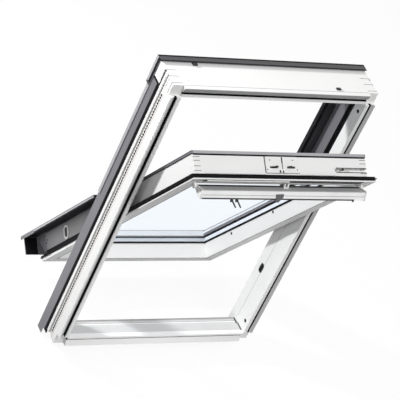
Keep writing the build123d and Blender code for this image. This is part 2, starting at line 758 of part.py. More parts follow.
def sash_bottom_cladding():
    """Sheet below the glass that laps the sill: bead, foot, apron, front lip and two ends."""
    low = -LIP_Z - SHEET_T
    inside = BODY_X - SASH_CLAD_W
    outside = COVER_X + SHEET_T
    sheet = block((-outside, outside), (COVER_Y, COVER_TOP), (low, LOWER_COVER_END))
    sheet += block((-LIP_X, LIP_X), (COVER_TOP - LIP_D, COVER_Y), (low, -LIP_Z))
    bead_z = (LOWER_COVER_END - SHEET_T, LOWER_COVER_END)
    sheet += block((-inside, inside), (GLASS_Y, COVER_Y), bead_z)
    foot_z = BODY_Z0 + GLASS_WALL / 2
    sheet += block((-inside, inside), (BODY_Y, COVER_Y), (foot_z, foot_z + SHEET_T))
    cheek = [
        (COVER_Y, -LIP_Z),
        (FRAME_D + CHEEK_GAP, -LIP_Z),
        (FRAME_D + CHEEK_GAP, SILL_NOSE + CHEEK_GAP),
        (SILL_EDGE + CHEEK_GAP, SILL_TOP + CHEEK_GAP),
        (SHEET_Y, SILL_TOP + CHEEK_GAP),
        (SHEET_Y, BODY_Z0),
        (COVER_Y, BODY_Z0),
    ]
    for side in (-1, 1):
        edge = (side * COVER_X, side * outside)
        sheet += block(edge, (COVER_Y - LOWER_COVER_LEG, COVER_Y), (low, LOWER_COVER_END))
        sheet += prism_x(cheek, (side * BODY_X, side * (BODY_X + SHEET_T)))
    return sheet


def lower_side_cover():
    """Right-hand cover on the sash, lapping the frame below the pivot."""
    points = [
        (COVER_X, COVER_Y - LOWER_COVER_LEG),
        (COVER_X + SHEET_T, COVER_Y - LOWER_COVER_LEG),
        (COVER_X + SHEET_T, COVER_TOP),
        (COVER_INNER_X, COVER_TOP),
        (COVER_INNER_X, SASH_TOP),
        (COVER_INNER_X + SHEET_T, SASH_TOP),
        (COVER_INNER_X + SHEET_T, COVER_Y),
        (COVER_X, COVER_Y),
    ]
    return prism_z(points, (LOWER_COVER_END, PIVOT_Z - LOWER_COVER_START))


def stile_sheet():
    """Right-hand sheet on the outer side of the lower half of the stile."""
    return block((BODY_X, BODY_X + SHEET_T), (SHEET_Y, BODY_Y), (BODY_Z0, SHEET_END))


def lock_casing():
    """Plate on the top rail with a central slit and an opening for each claw."""
    low = FIN_END + LOCK_FOOT
    high = BODY_Y - LOCK_TOP
    plate = extrude(RectangleRounded(2 * LOCK_HALF_L, high - low, LOCK_CORNER_R), LOCK_T)
    plate = Pos(0, (low + high) / 2, BODY_Z1) * plate
    past = (BODY_Z1 - OVERRUN, BODY_Z1 + LOCK_T + OVERRUN)
    slit = (high - LOCK_SLIT_INSET - LOCK_SLIT_L, high - LOCK_SLIT_INSET)
    plate -= block((-LOCK_SLIT_W / 2, LOCK_SLIT_W / 2), slit, past)
    for side in (-1, 1):
        swing_x, swing_y = latch_slot(side, LATCH_PLAY)
        plate -= block(swing_x, swing_y, past)
    return plate


def latch():
    """Right-hand claw: eye, arm towards the middle of the rail, and hook."""
    tip = LATCH_ARM - LATCH_REACH
    outline = [
        (0, -LATCH_ARM / 2),
        (LATCH_ARM / 2 - LATCH_REACH, -LATCH_ARM / 2),
        (-LATCH_REACH, 0),
        (-LATCH_REACH, LATCH_RISE - LATCH_TIP),
        (tip, LATCH_RISE),
        (tip + LATCH_TIP, LATCH_RISE - LATCH_TIP / 2),
        (tip, LATCH_RISE - LATCH_TIP),
        (tip, LATCH_ARM / 2),
        (0, LATCH_ARM / 2),
    ]
    face = make_face(Polyline(*[(px, pz, 0) for px, pz in outline], close=True))
    claw = extrude(face, LATCH_T / 2, both=True) + Cylinder(LATCH_EYE_R, LATCH_T)
    claw -= Cylinder(LATCH_PIN_R, LATCH_T + OVERRUN)
    return Pos(LATCH_X, LATCH_AXIS_Y, LATCH_AXIS_Z) * Rot(90, 0, 0) * claw


def latch_pins():
    """Pins across the pockets of the top rail on which the claws turn."""
    pins = []
    for side in (-1, 1):
        y_limits = latch_slot(side, LATCH_PLAY)[1]
        length = max(y_limits) - min(y_limits)
        pin = Rot(90, 0, 0) * Cylinder(LATCH_PIN_R - PIN_PLAY, length)
        pins.append(Pos(side * LATCH_X, LATCH_AXIS_Y, LATCH_AXIS_Z) * pin)
    return Compound(pins)


def barrel_bolt():
    """Bolt along the top rail, with a collar and an upright knob."""
    start = BOLT_SLOT_X + BOLT_START
    bolt = rod_x(BOLT_R, (start, BODY_X - BOLT_END), BOLT_AXIS_Y, BOLT_AXIS_Z)
    collar = BOLT_SLOT_X + COLLAR_X
    bolt += rod_x(COLLAR_R, (collar, collar + COLLAR_L), BOLT_AXIS_Y, BOLT_AXIS_Z)
    knob_top = BODY_Z1 + KNOB_RISE
    stem = knob_top - BOLT_AXIS_Z
    bolt += Pos(BOLT_SLOT_X + KNOB_X, BOLT_AXIS_Y, BOLT_AXIS_Z + stem / 2) * Cylinder(KNOB_R, stem)
    cap = Cylinder(KNOB_CAP_R, KNOB_CAP_T)
    return bolt + Pos(BOLT_SLOT_X + KNOB_X, BOLT_AXIS_Y, knob_top + KNOB_CAP_T / 2) * cap


def bolt_guide():
    """Sleeve at the slot's open end in which the bolt slides."""
    x = (BODY_X - GUIDE_L, BODY_X)
    sleeve = rod_x(BOLT_SLOT_W / 2 - GUIDE_PLAY, x, BOLT_AXIS_Y, BOLT_AXIS_Z)
    bore = (min(x) - OVERRUN, max(x) + OVERRUN)
    return sleeve - rod_x(BOLT_R + PIN_PLAY, bore, BOLT_AXIS_Y, BOLT_AXIS_Z)


def air_filter():
    """Filter strip against the back of the ventilation slot."""
    back = SASH_Y + VENT_D
    low = SIGHT_Z1 + VENT_INSET
    return block((-VENT_HALF_L, VENT_HALF_L), (back - FILTER_T, back), (low, low + VENT_H))


def bar_rod():
    """Rod along the rim above the ventilation slot."""
    return rod_x(ROD_R, (-VENT_HALF_L, LINK_X), SASH_Y - ROD_R, RIM_Z1 - ROD_DOWN)


def bar_bracket():
    """Right-hand bracket on the sash rim that holds a stub of the control bar."""
    x = (BAR_HALF_L + CAP_T + EYE_PLAY, BAR_HALF_L + CAP_T + STUB_L)
    half = BRACKET_H / 2
    plate = block(x, (FLAP_Y, SASH_Y), (FLAP_Z - half, FLAP_Z + half))
    plate += rod_x(half, x, FLAP_Y, FLAP_Z)
    return plate - rod_x(STUB_R + PIN_PLAY, (min(x) - OVERRUN, max(x) + OVERRUN), FLAP_Y, FLAP_Z)


def pulled_down(shape):
    """Turn a piece of the control bar from shut to pulled down."""
    return Pos(0, FLAP_Y, FLAP_Z) * Rot(FLAP_ANGLE, 0, 0) * shape


def control_bar():
    """Flap plate on its barrel, with a rounded grip along the free edge."""
    x = (-BAR_HALF_L, BAR_HALF_L)
    half = FLAP_T / 2
    top = FLAP_L + BAR_RISE
    plate = block(x, (-half, half), (0, FLAP_L)) + rod_x(FLAP_EYE_R, x, 0, 0)
    grip = block(x, (half - BAR_W, half), (top - BAR_T, top))
    front = grip.edges().filter_by(Axis.X).group_by(Axis.Y)[0]
    grip = fillet(front, BAR_ROUND_R)
    middle = half - BAR_W / 2
    groove = (middle - BAR_GROOVE / 2, middle + BAR_GROOVE / 2)
    past = (-BAR_HALF_L - OVERRUN, BAR_HALF_L + OVERRUN)
    grip -= block(past, groove, (top - BAR_GROOVE, top + OVERRUN))
    return pulled_down(plate + grip)


def bar_end_cap():
    """Right-hand end cap: cheek over the profile's end, with the pivot stub."""
    half = FLAP_T / 2
    top = FLAP_L + BAR_RISE + CAP_LIP
    outline = [
        (FLAP_EYE_R + CAP_LIP, -FLAP_EYE_R - CAP_LIP),
        (FLAP_EYE_R + CAP_LIP, top),
        (half - BAR_W - CAP_LIP, top),
        (half - BAR_W - CAP_LIP, top - BAR_T - CAP_LIP),
        (-FLAP_EYE_R - CAP_LIP, -FLAP_EYE_R - CAP_LIP),
    ]
    cheek = prism_x(outline, (BAR_HALF_L, BAR_HALF_L + CAP_T))
    front = cheek.edges().filter_by(Axis.X).group_by(Axis.Y)[0]
    cheek = fillet(front, CAP_ROUND_R)
    stub = rod_x(STUB_R, (BAR_HALF_L + CAP_T, BAR_HALF_L + CAP_T + STUB_L), 0, 0)
    return pulled_down(cheek + stub)


def bar_link():
    """Two ears on the inner side of the flap that reach into the ventilation slot."""
    ears = []
    for side in (-1, 1):
        far = LINK_X + side * LINK_W / 2
        near = far - side * LINK_EAR
        ear = block((near, far), (FLAP_T / 2, FLAP_T / 2 + LINK_L), (LINK_Z, LINK_Z + LINK_H))
        ears.append(ear)
    foot_x = (LINK_X - LINK_W / 2, LINK_X + LINK_W / 2)
    foot = block(foot_x, (FLAP_T / 2, FLAP_T / 2 + FLAP_T), (LINK_Z, LINK_Z + LINK_H))
    return pulled_down(foot + ears[0] + ears[1])


def opened(shape):
    """Turn a piece of the sash from shut to open."""
    return Pos(0, PIVOT_Y, PIVOT_Z) * Rot(OPEN_ANGLE, 0, 0) * Pos(0, -PIVOT_Y, -PIVOT_Z) * shape


def save(name, shape):
    """Write one node, with the origin at the centre of the sill's underside."""
    export_step(Pos(0, -FRAME_D / 2, 0) * shape, os.path.join("parts", name + ".step"))


def save_pair(name, shape, place=lambda piece: piece):
    """Write a right-hand piece and its mirror image."""
    save(name + "_right", place(shape))
    save(name + "_left", place(mirrored(shape)))


os.makedirs("parts", exist_ok=True)

members = ("frame_head", "frame_sill", "frame_jamb_left", "frame_jamb_right")
for node, timber in zip(members, frame_timber()):
    save(node, timber)
save("frame_gasket", frame_seal())
save("sill_cladding", sill_cladding())
save("head_cover", head_cover())
save("striker_plate", striker_plate())
save("bolt_bushes", bolt_bushes())
save("cover_clip", cover_clip())
save("head_catch", head_catch())
save_pair("jamb_gasket", jamb_seal())
save_pair("jamb_cladding", jamb_cladding())
save("jamb_liner_right", jamb_liner() - bolt_hole())
save("jamb_liner_left", mirrored(jamb_liner()))
save_pair("upper_side_cover", upper_side_cover())
save_pair("cover_seal", cover_seal())
save_pair("hinge_frame", hinge_frame())
jamb_face = (STOP_X - JAMB_BUSH_PROUD, STOP_X + JAMB_BUSH_T - JAMB_BUSH_PROUD)
jamb_size = (JAMB_BUSH_L, JAMB_BUSH_W, JAMB_BUSH_WALL)
save_pair("jamb_bush", oval_bush(*jamb_size, jamb_face, JAMB_BUSH_Y, JAMB_BUSH_Z, (0, 0, 1)))

rails = ("sash_top_rail", "sash_bottom_rail", "sash_stile_left", "sash_stile_right")
for node, timber in zip(rails, sash_timber()):
    save(node, opened(timber))
save("inner_pane", opened(pane(INNER_PANE_Y)))
save("outer_pane", opened(pane(OUTER_PANE_Y)))
save("pane_spacer", opened(glass_ring(SPACER_INSET, SPACER_W, (CAVITY_Y, OUTER_PANE_Y))))
save("glazing_tape", opened(glass_ring(0, TAPE_W, (LEDGE_Y, INNER_PANE_Y))))
save("sash_gasket", opened(sash_seal()))
save("sash_top_cladding", opened(sash_top_cladding()))
save("sash_bottom_cladding", opened(sash_bottom_cladding()))
save("lock_casing", opened(lock_casing()))
save("latch_pins", opened(latch_pins()))
save("bolt_guide", opened(bolt_guide()))
save("air_filter", opened(air_filter()))
save("bar_rod", opened(bar_rod()))
save_pair("sash_side_cladding", sash_side_cladding(), opened)
save_pair("lower_side_cover", lower_side_cover(), opened)
save_pair("stile_sheet", stile_sheet(), opened)
stile_face = (BODY_X + SHEET_T, BODY_X + SHEET_T + STILE_BUSH_T)
stile_y = (SHEET_Y + STILE_BUSH_FOOT, BODY_Y - STILE_BUSH_TOP)
stile_length = stile_y[1] - stile_y[0]
stile_size = (stile_length, stile_length * STILE_BUSH_SHARE, STILE_BUSH_WALL)
stile_oval = oval_bush(*stile_size, stile_face, sum(stile_y) / 2, STILE_BUSH_Z, (0, 1, 0))
save_pair("stile_bush", stile_oval, opened)
save_pair("hinge_sash", hinge_sash(), opened)
save_pair("bar_bracket", bar_bracket(), opened)

save("control_bar", opened(control_bar()))
save("bar_link", opened(bar_link()))
save_pair("bar_end_cap", bar_end_cap(), opened)
save_pair("latch", latch(), opened)
save("barrel_bolt", opened(barrel_bolt()))
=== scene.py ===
import json
import math

import bmesh
import bpy
from mathutils import Matrix, Vector


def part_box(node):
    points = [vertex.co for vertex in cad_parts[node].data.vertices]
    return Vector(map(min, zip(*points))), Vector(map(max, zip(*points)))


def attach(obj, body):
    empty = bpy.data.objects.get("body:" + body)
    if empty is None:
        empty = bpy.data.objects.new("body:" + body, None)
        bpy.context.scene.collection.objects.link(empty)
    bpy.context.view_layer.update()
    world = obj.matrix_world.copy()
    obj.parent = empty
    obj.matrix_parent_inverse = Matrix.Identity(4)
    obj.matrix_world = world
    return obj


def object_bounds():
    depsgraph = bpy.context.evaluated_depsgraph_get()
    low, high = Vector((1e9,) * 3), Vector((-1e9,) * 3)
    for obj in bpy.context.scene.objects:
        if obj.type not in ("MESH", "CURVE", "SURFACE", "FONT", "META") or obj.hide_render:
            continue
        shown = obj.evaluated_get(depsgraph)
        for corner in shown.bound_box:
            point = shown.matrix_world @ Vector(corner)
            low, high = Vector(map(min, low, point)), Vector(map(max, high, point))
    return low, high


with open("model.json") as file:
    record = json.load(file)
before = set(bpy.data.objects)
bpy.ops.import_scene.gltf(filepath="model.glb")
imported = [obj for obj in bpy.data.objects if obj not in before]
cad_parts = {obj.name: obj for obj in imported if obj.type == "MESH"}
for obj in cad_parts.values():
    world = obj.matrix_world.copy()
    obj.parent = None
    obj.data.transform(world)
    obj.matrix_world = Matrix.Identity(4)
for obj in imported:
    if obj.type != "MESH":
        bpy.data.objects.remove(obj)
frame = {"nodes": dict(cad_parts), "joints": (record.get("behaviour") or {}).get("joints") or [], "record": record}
cad_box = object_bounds()

# One millimetre in the scene's metres
MM = 0.001

# Camera: place, direction of view, upward direction and focal length over the picture's width
CAMERA_PLACE = (-3.7574, -4.5478, 4.9599)
CAMERA_FORWARD = (0.50857, 0.62463, -0.59262)
CAMERA_UP = (-0.00985, 0.69245, 0.72139)
SENSOR = 36.0
FOCAL_SHARE = 5.43
CLIP_END = 200.0

# Light: key lamp from the left, broad lamp above, weak lamps at the side, the sill and the lower cover
KEY_DIRECTION = (-1.0, 0.62, 0.66)
KEY_DISTANCE = 3.2
KEY_SIZE = 0.3
KEY_POWER = 94.0
TOP_DIRECTION = (0.0, -0.6, 0.8)
TOP_DISTANCE = 6.0
TOP_SIZE = 3.0
TOP_POWER = 200.0
SIDE_DIRECTION = (-1.0, 0.0, 0.0)
SIDE_DISTANCE = 6.0
SIDE_SIZE = 0.8
SIDE_POWER = 12.0
SILL_LAMP_PLACE = (0.0, -0.75, 0.0)
SILL_LAMP_AIM = (0.0, 0.0, 0.0)
SILL_LAMP_SIZE = 0.5
SILL_LAMP_POWER = 2.6
COVER_LAMP_PLACE = (-0.62, 0.30, 0.22)
COVER_LAMP_AIM = (-0.33, 0.20, 0.33)
COVER_LAMP_SIZE = 0.2
COVER_LAMP_POWER = 0.5
AMBIENT = 0.33
FLOOR_DROP = 55 * MM
FLOOR_HALF = 60.0
FLOOR_CELLS = 4
FLOOR_GLOW = 0.92
FLOOR_SHADE = 0.08
FLOOR_BOUNCE = 0.12

# Colours, linear
WHITE_PAINT = (0.86, 0.86, 0.855)
GREY_COAT = (0.185, 0.182, 0.200)
SEAL_BLACK = (0.004, 0.004, 0.005)
GLASS_TINT = (0.955, 0.978, 1.0)
SPACER_GREY = (0.50, 0.54, 0.60)
SPACER_COAT = (0.78, 0.81, 0.86)
# Near-white of the painted highlight along the glass's edge outside
EDGE_HIGHLIGHT_WHITE = (0.94, 0.95, 0.96)
STEEL = (0.62, 0.62, 0.63)
ALUMINIUM = (0.88, 0.88, 0.88)
WHITE_PLASTIC = (0.87, 0.87, 0.86)
GREY_PLASTIC = (0.12, 0.12, 0.125)
BLACK_PLASTIC = (0.015, 0.015, 0.016)
FELT = (0.05, 0.05, 0.05)
BARE_WOOD = (0.52, 0.38, 0.33)
# Near-black of the ticks of painted shade in the side grooves
TICK_SHADE = (0.012, 0.009, 0.008)
HOOD_COAT = (0.060, 0.060, 0.064)
# Lighter grey of painted highlight on the legs of covers and claddings and on the hood's returns
LEG_HIGHLIGHT_GREY = (0.42, 0.42, 0.44)
SHEET_COAT = (0.31, 0.31, 0.32)
# Near-black of painted shade under the covers and in the recess behind the control bar
DEEP_SHADE_GREY = (0.035, 0.035, 0.038)
SEAM_GREY = (0.09, 0.085, 0.085)
FINE_GREY = (0.42, 0.41, 0.40)
# Greys of painted shade on the lands, the sill and the jambs
LAND_GREY = (0.50, 0.50, 0.50)
HEAD_LAND_GREY = (0.34, 0.34, 0.34)
SILL_GREY = (0.60, 0.60, 0.60)
DARK_STEEL = (0.05, 0.05, 0.052)
# Grey of painted shade on the control bar's plate
BAR_GREY = (0.46, 0.46, 0.465)

# Edge rounding of the solids
TIMBER_EDGE = 0.8 * MM
METAL_EDGE = 0.35 * MM
SMALL_EDGE = 0.3 * MM
EDGE_SEGMENTS = 2
EDGE_ANGLE = math.radians(35)
WELD_REACH = 0.01 * MM


# The sash: matrix from its place at rest to the place where it is shut, and back
def turn_about_x(place, degrees):
    move = Matrix.Translation(place)
    return move @ Matrix.Rotation(math.radians(degrees), 4, "X") @ move.inverted()


joints = {joint["name"]: joint for joint in frame["joints"]}
pivot = joints["sash_pivot"]
SASH_TILT = pivot["range_deg"][0]
SHUT = turn_about_x(Vector(pivot["pos_m"]), SASH_TILT)
OPEN = SHUT.inverted()


def shut_top(node):
    """Height in millimetres of a sash node's top when the sash is shut."""
    return max((SHUT @ vertex.co).z for vertex in frame["nodes"][node].data.vertices) / MM


# Materials
EVEN = (1, 1, 1)
X_AXIS, Z_AXIS = 0, 2
GRAIN_ACROSS = 60.0
GRAIN_ALONG = 2.5
BRUSH_ACROSS = 900.0
BRUSH_ALONG = 12.0
GLASS_IOR = 1.015
RUBBER_SHINE = 0.15


def start_material(name, colour, roughness, metallic=0.0):
    """New material with its shader's constants set; returns the material, its tree and the shader."""
    material = bpy.data.materials.new(name)
    material.use_nodes = True
    tree = material.node_tree
    shader = tree.nodes["Principled BSDF"]
    shader.inputs["Base Color"].default_value = (*colour, 1)
    shader.inputs["Roughness"].default_value = roughness
    shader.inputs["Metallic"].default_value = metallic
    return material, tree, shader


def object_coordinates(tree, scale, tilt=0.0):
    """Coordinates that ride with the piece, stretched by scale, turned back by tilt about X."""
    place = tree.nodes.new("ShaderNodeTexCoord")
    turn = tree.nodes.new("ShaderNodeMapping")
    turn.inputs["Rotation"].default_value = (math.radians(tilt), 0, 0)
    stretch = tree.nodes.new("ShaderNodeMapping")
    stretch.inputs["Scale"].default_value = scale
    tree.links.new(place.outputs["Object"], turn.inputs["Vector"])
    tree.links.new(turn.outputs["Vector"], stretch.inputs["Vector"])
    return stretch.outputs["Vector"]


def noise(tree, vector, scale, detail=4.0):
    texture = tree.nodes.new("ShaderNodeTexNoise")
    texture.inputs["Scale"].default_value = scale
    texture.inputs["Detail"].default_value = detail
    tree.links.new(vector, texture.inputs["Vector"])
    return texture.outputs["Fac"]


def roughen(tree, shader, value, low, high):
    """Roughness between two limits, from a value that runs from 0 to 1."""
    node = tree.nodes.new("ShaderNodeMapRange")
    node.inputs["To Min"].default_value = low
    node.inputs["To Max"].default_value = high
    tree.links.new(value, node.inputs["Value"])
    tree.links.new(node.outputs["Result"], shader.inputs["Roughness"])


def tint(tree, shader, value, dark, light, stops=(0.3, 0.7)):
    """Base colour that runs from dark to light between two stops of a value."""
    ramp = tree.nodes.new("ShaderNodeValToRGB")
    for element, stop, colour in zip(ramp.color_ramp.elements, stops, (dark, light)):
        element.position = stop
        element.color = (*colour, 1)
    tree.links.new(value, ramp.inputs["Fac"])
    tree.links.new(ramp.outputs["Color"], shader.inputs["Base Color"])


def shade(colour, factor):
    return tuple(channel * factor for channel in colour)


def bump(tree, shader, height, strength, depth):
    node = tree.nodes.new("ShaderNodeBump")
    node.inputs["Strength"].default_value = strength
    node.inputs["Distance"].default_value = depth
    tree.links.new(height, node.inputs["Height"])
    tree.links.new(node.outputs["Normal"], shader.inputs["Normal"])


def painted_timber(name, grain, tilt=0.0):
    """White paint that lets a little of the grain show; grain is the axis that it runs along."""
    material, tree, shader = start_material(name, WHITE_PAINT, roughness=0.42)
    stretch = [GRAIN_ACROSS] * 3
    stretch[grain] = GRAIN_ALONG
    fibres = noise(tree, object_coordinates(tree, stretch, tilt), scale=6.0)
    cloud = noise(tree, object_coordinates(tree, EVEN, tilt), scale=5.0, detail=2.0)
    tint(tree, shader, cloud, dark=shade(WHITE_PAINT, 0.975), light=WHITE_PAINT)
    roughen(tree, shader, fibres, low=0.36, high=0.5)
    bump(tree, shader, fibres, strength=0.12, depth=0.15 * MM)
    return material


def coated_metal(name, colour):
    """Satin coating on sheet, with a faint orange peel and slow changes of tone."""
    material, tree, shader = start_material(name, colour, roughness=0.45, metallic=0.15)
    place = object_coordinates(tree, EVEN)
    peel = noise(tree, place, scale=900.0, detail=2.0)
    cloud = noise(tree, place, scale=7.0, detail=3.0)
    tint(tree, shader, cloud, dark=shade(colour, 0.92), light=shade(colour, 1.06))
    roughen(tree, shader, cloud, low=0.40, high=0.52)
    bump(tree, shader, peel, strength=0.08, depth=0.05 * MM)
    return material


def rubber(name, colour):
    """Dull rubber with a fine grain."""
    material, tree, shader = start_material(name, colour, roughness=0.62)
    shader.inputs["Specular IOR Level"].default_value = RUBBER_SHINE
    place = object_coordinates(tree, EVEN)
    grain = noise(tree, place, scale=700.0, detail=3.0)
    cloud = noise(tree, place, scale=12.0)
    tint(tree, shader, cloud, dark=shade(colour, 0.8), light=shade(colour, 1.3))
    roughen(tree, shader, grain, low=0.55, high=0.7)
    bump(tree, shader, grain, strength=0.15, depth=0.08 * MM)
    return material


def glass(name):
    """Clear pane with a pale blue tint and a trace of uneven polish."""
    material, tree, shader = start_material(name, GLASS_TINT, roughness=0.0)
    shader.inputs["Transmission Weight"].default_value = 1.0
    shader.inputs["IOR"].default_value = GLASS_IOR
    smear = noise(tree, object_coordinates(tree, EVEN), scale=9.0, detail=2.0)
    roughen(tree, shader, smear, low=0.0, high=0.004)
    return material


def metal(name, colour, brushed):
    """Bare metal with brush marks along one axis."""
    material, tree, shader = start_material(name, colour, roughness=0.32, metallic=1.0)
    stretch = [BRUSH_ACROSS] * 3
    stretch[brushed] = BRUSH_ALONG
    marks = noise(tree, object_coordinates(tree, stretch), scale=1.0, detail=3.0)
    cloud = noise(tree, object_coordinates(tree, EVEN), scale=14.0)
    tint(tree, shader, cloud, dark=shade(colour, 0.9), light=colour)
    roughen(tree, shader, marks, low=0.26, high=0.46)
    bump(tree, shader, marks, strength=0.06, depth=0.03 * MM)
    return material


def plastic(name, colour):
    """Moulded plastic with a fine spark-eroded grain."""
    material, tree, shader = start_material(name, colour, roughness=0.48)
    place = object_coordinates(tree, EVEN)
    grain = noise(tree, place, scale=1400.0, detail=2.0)
    cloud = noise(tree, place, scale=18.0)
    tint(tree, shader, cloud, dark=shade(colour, 0.94), light=colour)
    roughen(tree, shader, grain, low=0.42, high=0.56)
    bump(tree, shader, grain, strength=0.1, depth=0.04 * MM)
    return material


def felt(name):
    """Dark filter felt with loose fibres."""
    material, tree, shader = start_material(name, FELT, roughness=0.95)
    fibres = noise(tree, object_coordinates(tree, EVEN), scale=450.0, detail=6.0)
    tint(tree, shader, fibres, dark=shade(FELT, 0.6), light=shade(FELT, 1.2))
    bump(tree, shader, fibres, strength=0.6, depth=0.6 * MM)
    return material


def bare_wood(name, dark, light, across, along):
    """Unpainted timber in a groove, and with near-black colours the ticks of painted shade there; dark ticks
    follow one another along the member.
    """
    material, tree, shader = start_material(name, light, roughness=0.75)
    ticks = noise(tree, object_coordinates(tree, (across, across, along)), scale=1.0, detail=2.0)
    tint(tree, shader, ticks, dark, light, stops=(0.42, 0.58))
    bump(tree, shader, ticks, strength=0.3, depth=0.2 * MM)
    return material


MATERIALS = {
    "grey_cladding": coated_metal("grey_coat", GREY_COAT),
    "black_seal": rubber("black_rubber_and_shade", SEAL_BLACK),
    "clear_glass": glass("clear_pane"),
    "spacer_metal": metal("spacer_metal", SPACER_GREY, X_AXIS),
    "steel": metal("plain_steel", STEEL, X_AXIS),
    "bar_aluminium": metal("pale_aluminium", ALUMINIUM, X_AXIS),
    "white_plastic": plastic("white_plastic", WHITE_PLASTIC),
    "grey_plastic": plastic("grey_plastic", GREY_PLASTIC),
    "black_plastic": plastic("black_plastic", BLACK_PLASTIC),
    "filter_felt": felt("filter_felt"),
}
PAINT_ACROSS = painted_timber("paint_across", X_AXIS)
PAINT_UP = painted_timber("paint_up", Z_AXIS)
SASH_PAINT_ACROSS = painted_timber("paint_sash_across", X_AXIS, SASH_TILT)
SASH_PAINT_UP = painted_timber("paint_sash_up", Z_AXIS, SASH_TILT)
WOOD = bare_wood("bare_wood", shade(BARE_WOOD, 0.7), BARE_WOOD, across=60, along=30)
# Ticks of painted shade in the side grooves
SHADE_TICKS = bare_wood("groove_shade_ticks", shade(TICK_SHADE, 0.5), TICK_SHADE, across=60, along=60)
# Painted highlight on legs and returns that face the light
LEG = coated_metal("leg_highlight", LEG_HIGHLIGHT_GREY)
# Painted shade under covers and in recesses
DARK = coated_metal("deep_shade", DEEP_SHADE_GREY)
SHEET = coated_metal("sheet_coat", SHEET_COAT)
# Dark grey of the joint lines and screws, also painted shade along the sash's face, the head's edge and the sill's
# corners
SEAM = plastic("joint_line", SEAM_GREY)
# Grey of fine lines: painted shade along the sill's step and in the control bar's grooves, and the line along the
# top rail
FINE = plastic("fine_line", FINE_GREY)
LAND_SHADE = plastic("land_shade", LAND_GREY)
HEAD_SHADE = plastic("head_land_shade", HEAD_LAND_GREY)
SILL_SHADE = plastic("sill_shade", SILL_GREY)
SPACER_SHADE = plastic("spacer_coat", SPACER_COAT)
# Painted highlight along the glass's edge outside
BRIGHT_EDGE = plastic("bright_edge", EDGE_HIGHLIGHT_WHITE)
BAR_SHADE = plastic("bar_grey", BAR_GREY)
CLAW_STEEL = metal("dark_steel", DARK_STEEL, X_AXIS)
# Black rubber of the seals, also used for painted shade in grooves, gaps, holes and slots and under covers and
# claddings
BLACK = MATERIALS["black_seal"]
# Black moulded plastic, also used for painted shade in the bushes' holes, the lock's slit and along the control
# bar
BLACK_MOULDED_AND_SHADE = MATERIALS["black_plastic"]
WHITE_MOULDED = MATERIALS["white_plastic"]
OWN_MATERIALS = {
    "frame_head": PAINT_ACROSS,
    "frame_sill": PAINT_ACROSS,
    "frame_jamb_left": PAINT_UP,
    "frame_jamb_right": PAINT_UP,
    "sash_top_rail": SASH_PAINT_ACROSS,
    "sash_bottom_rail": SASH_PAINT_ACROSS,
    "sash_stile_left": SASH_PAINT_UP,
    "sash_stile_right": SASH_PAINT_UP,
    "head_cover": coated_metal("hood_coat", HOOD_COAT),
    "latch_left": CLAW_STEEL,
    "latch_right": CLAW_STEEL,
    "bar_rod": WHITE_MOULDED,
    "bar_link": WHITE_MOULDED,
    "stile_sheet_left": SHEET,
    "stile_sheet_right": SHEET,
    "stile_bush_left": WHITE_MOULDED,
    "stile_bush_right": WHITE_MOULDED,
}


def soften(piece, width):
    """Round the edges of a piece by a little and shade them smoothly."""
    weld = piece.modifiers.new("weld", "WELD")
    weld.merge_threshold = WELD_REACH
    edge = piece.modifiers.new("edge", "BEVEL")
    edge.width = width
    edge.segments = EDGE_SEGMENTS
    edge.limit_method = "ANGLE"
    edge.angle_limit = EDGE_ANGLE
    piece.modifiers.new("normals", "WEIGHTED_NORMAL")


slots = {part["node"]: part["material_slot"] for part in frame["record"]["subparts"]}
EDGES = {"painted_timber": TIMBER_EDGE, "grey_cladding": METAL_EDGE}
for node, piece in frame["nodes"].items():
    slot = slots[node]
    piece.data.materials.clear()
    piece.data.materials.append(OWN_MATERIALS.get(node) or MATERIALS[slot])
    soften(piece, EDGES.get(slot, SMALL_EDGE))
for node in ("inner_pane", "outer_pane"):
    frame["nodes"][node].visible_shadow = False


# Makers of the pieces that the solids leave out
DISC_SIDES = 12
DISC_PROFILE_SHARES = ((1, 0), (1, 1), (0.6, 1), (0.5, 0.5))
OVAL_STEPS = 24


def add_piece(name, mesh, body, material, edge=SMALL_EDGE):
    """Turn a bmesh into a piece that rides on a body."""
    data = bpy.data.meshes.new(name)
    bmesh.ops.recalc_face_normals(mesh, faces=mesh.faces)
    mesh.to_mesh(data)
    mesh.free()
    piece = bpy.data.objects.new(name, data)
    bpy.context.scene.collection.objects.link(piece)
    data.materials.append(material)
    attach(piece, body)
    if edge:
        soften(piece, edge)


def add_box(mesh, low, high):
    """Box between two corners."""
    made = bmesh.ops.create_cube(mesh, size=1.0)["verts"]
    middle = (Vector(low) + Vector(high)) / 2
    size = Vector(high) - Vector(low)
    for vertex in made:
        vertex.co = middle + Vector(part * span for part, span in zip(vertex.co, size))
    return made


def both_sides(boxes):
    """Boxes with their mirror images across the middle of the window."""
    return list(boxes) + [((-x[1], -x[0]), y, z) for x, y, z in boxes]


def ring_boxes(half, z, width, y):
    """Four strips round an opening, outside its edge."""
    sides = both_sides([((half, half + width), y, (z[0] - width, z[1] + width))])
    ends = [(z[0] - width, z[0]), (z[1], z[1] + width)]
    return sides + [((-half, half), y, end) for end in ends]


def across(half):
    """Span over both sides of the middle of the window."""
    return (-half, half)


def layer(face, thickness):
    """Span of a thin layer that lies on a face."""
    return (face, face + thickness)


def around(middle, width):
    """Span of a line of the given width."""
    return (middle - width / 2, middle + width / 2)


def grown(span, reach):
    """Span made longer at both ends, or shorter for a negative reach."""
    return (span[0] - reach, span[1] + reach)


def add_strips(name, boxes, place, body, material):
    """One piece made of several strips, each given by its limits on the three axes."""
    mesh = bmesh.new()
    for limits in boxes:
        low = [MM * min(span) for span in limits]
        high = [MM * max(span) for span in limits]
        for vertex in add_box(mesh, low, high):
            vertex.co = place @ vertex.co
    add_piece(name, mesh, body, material, edge=0)


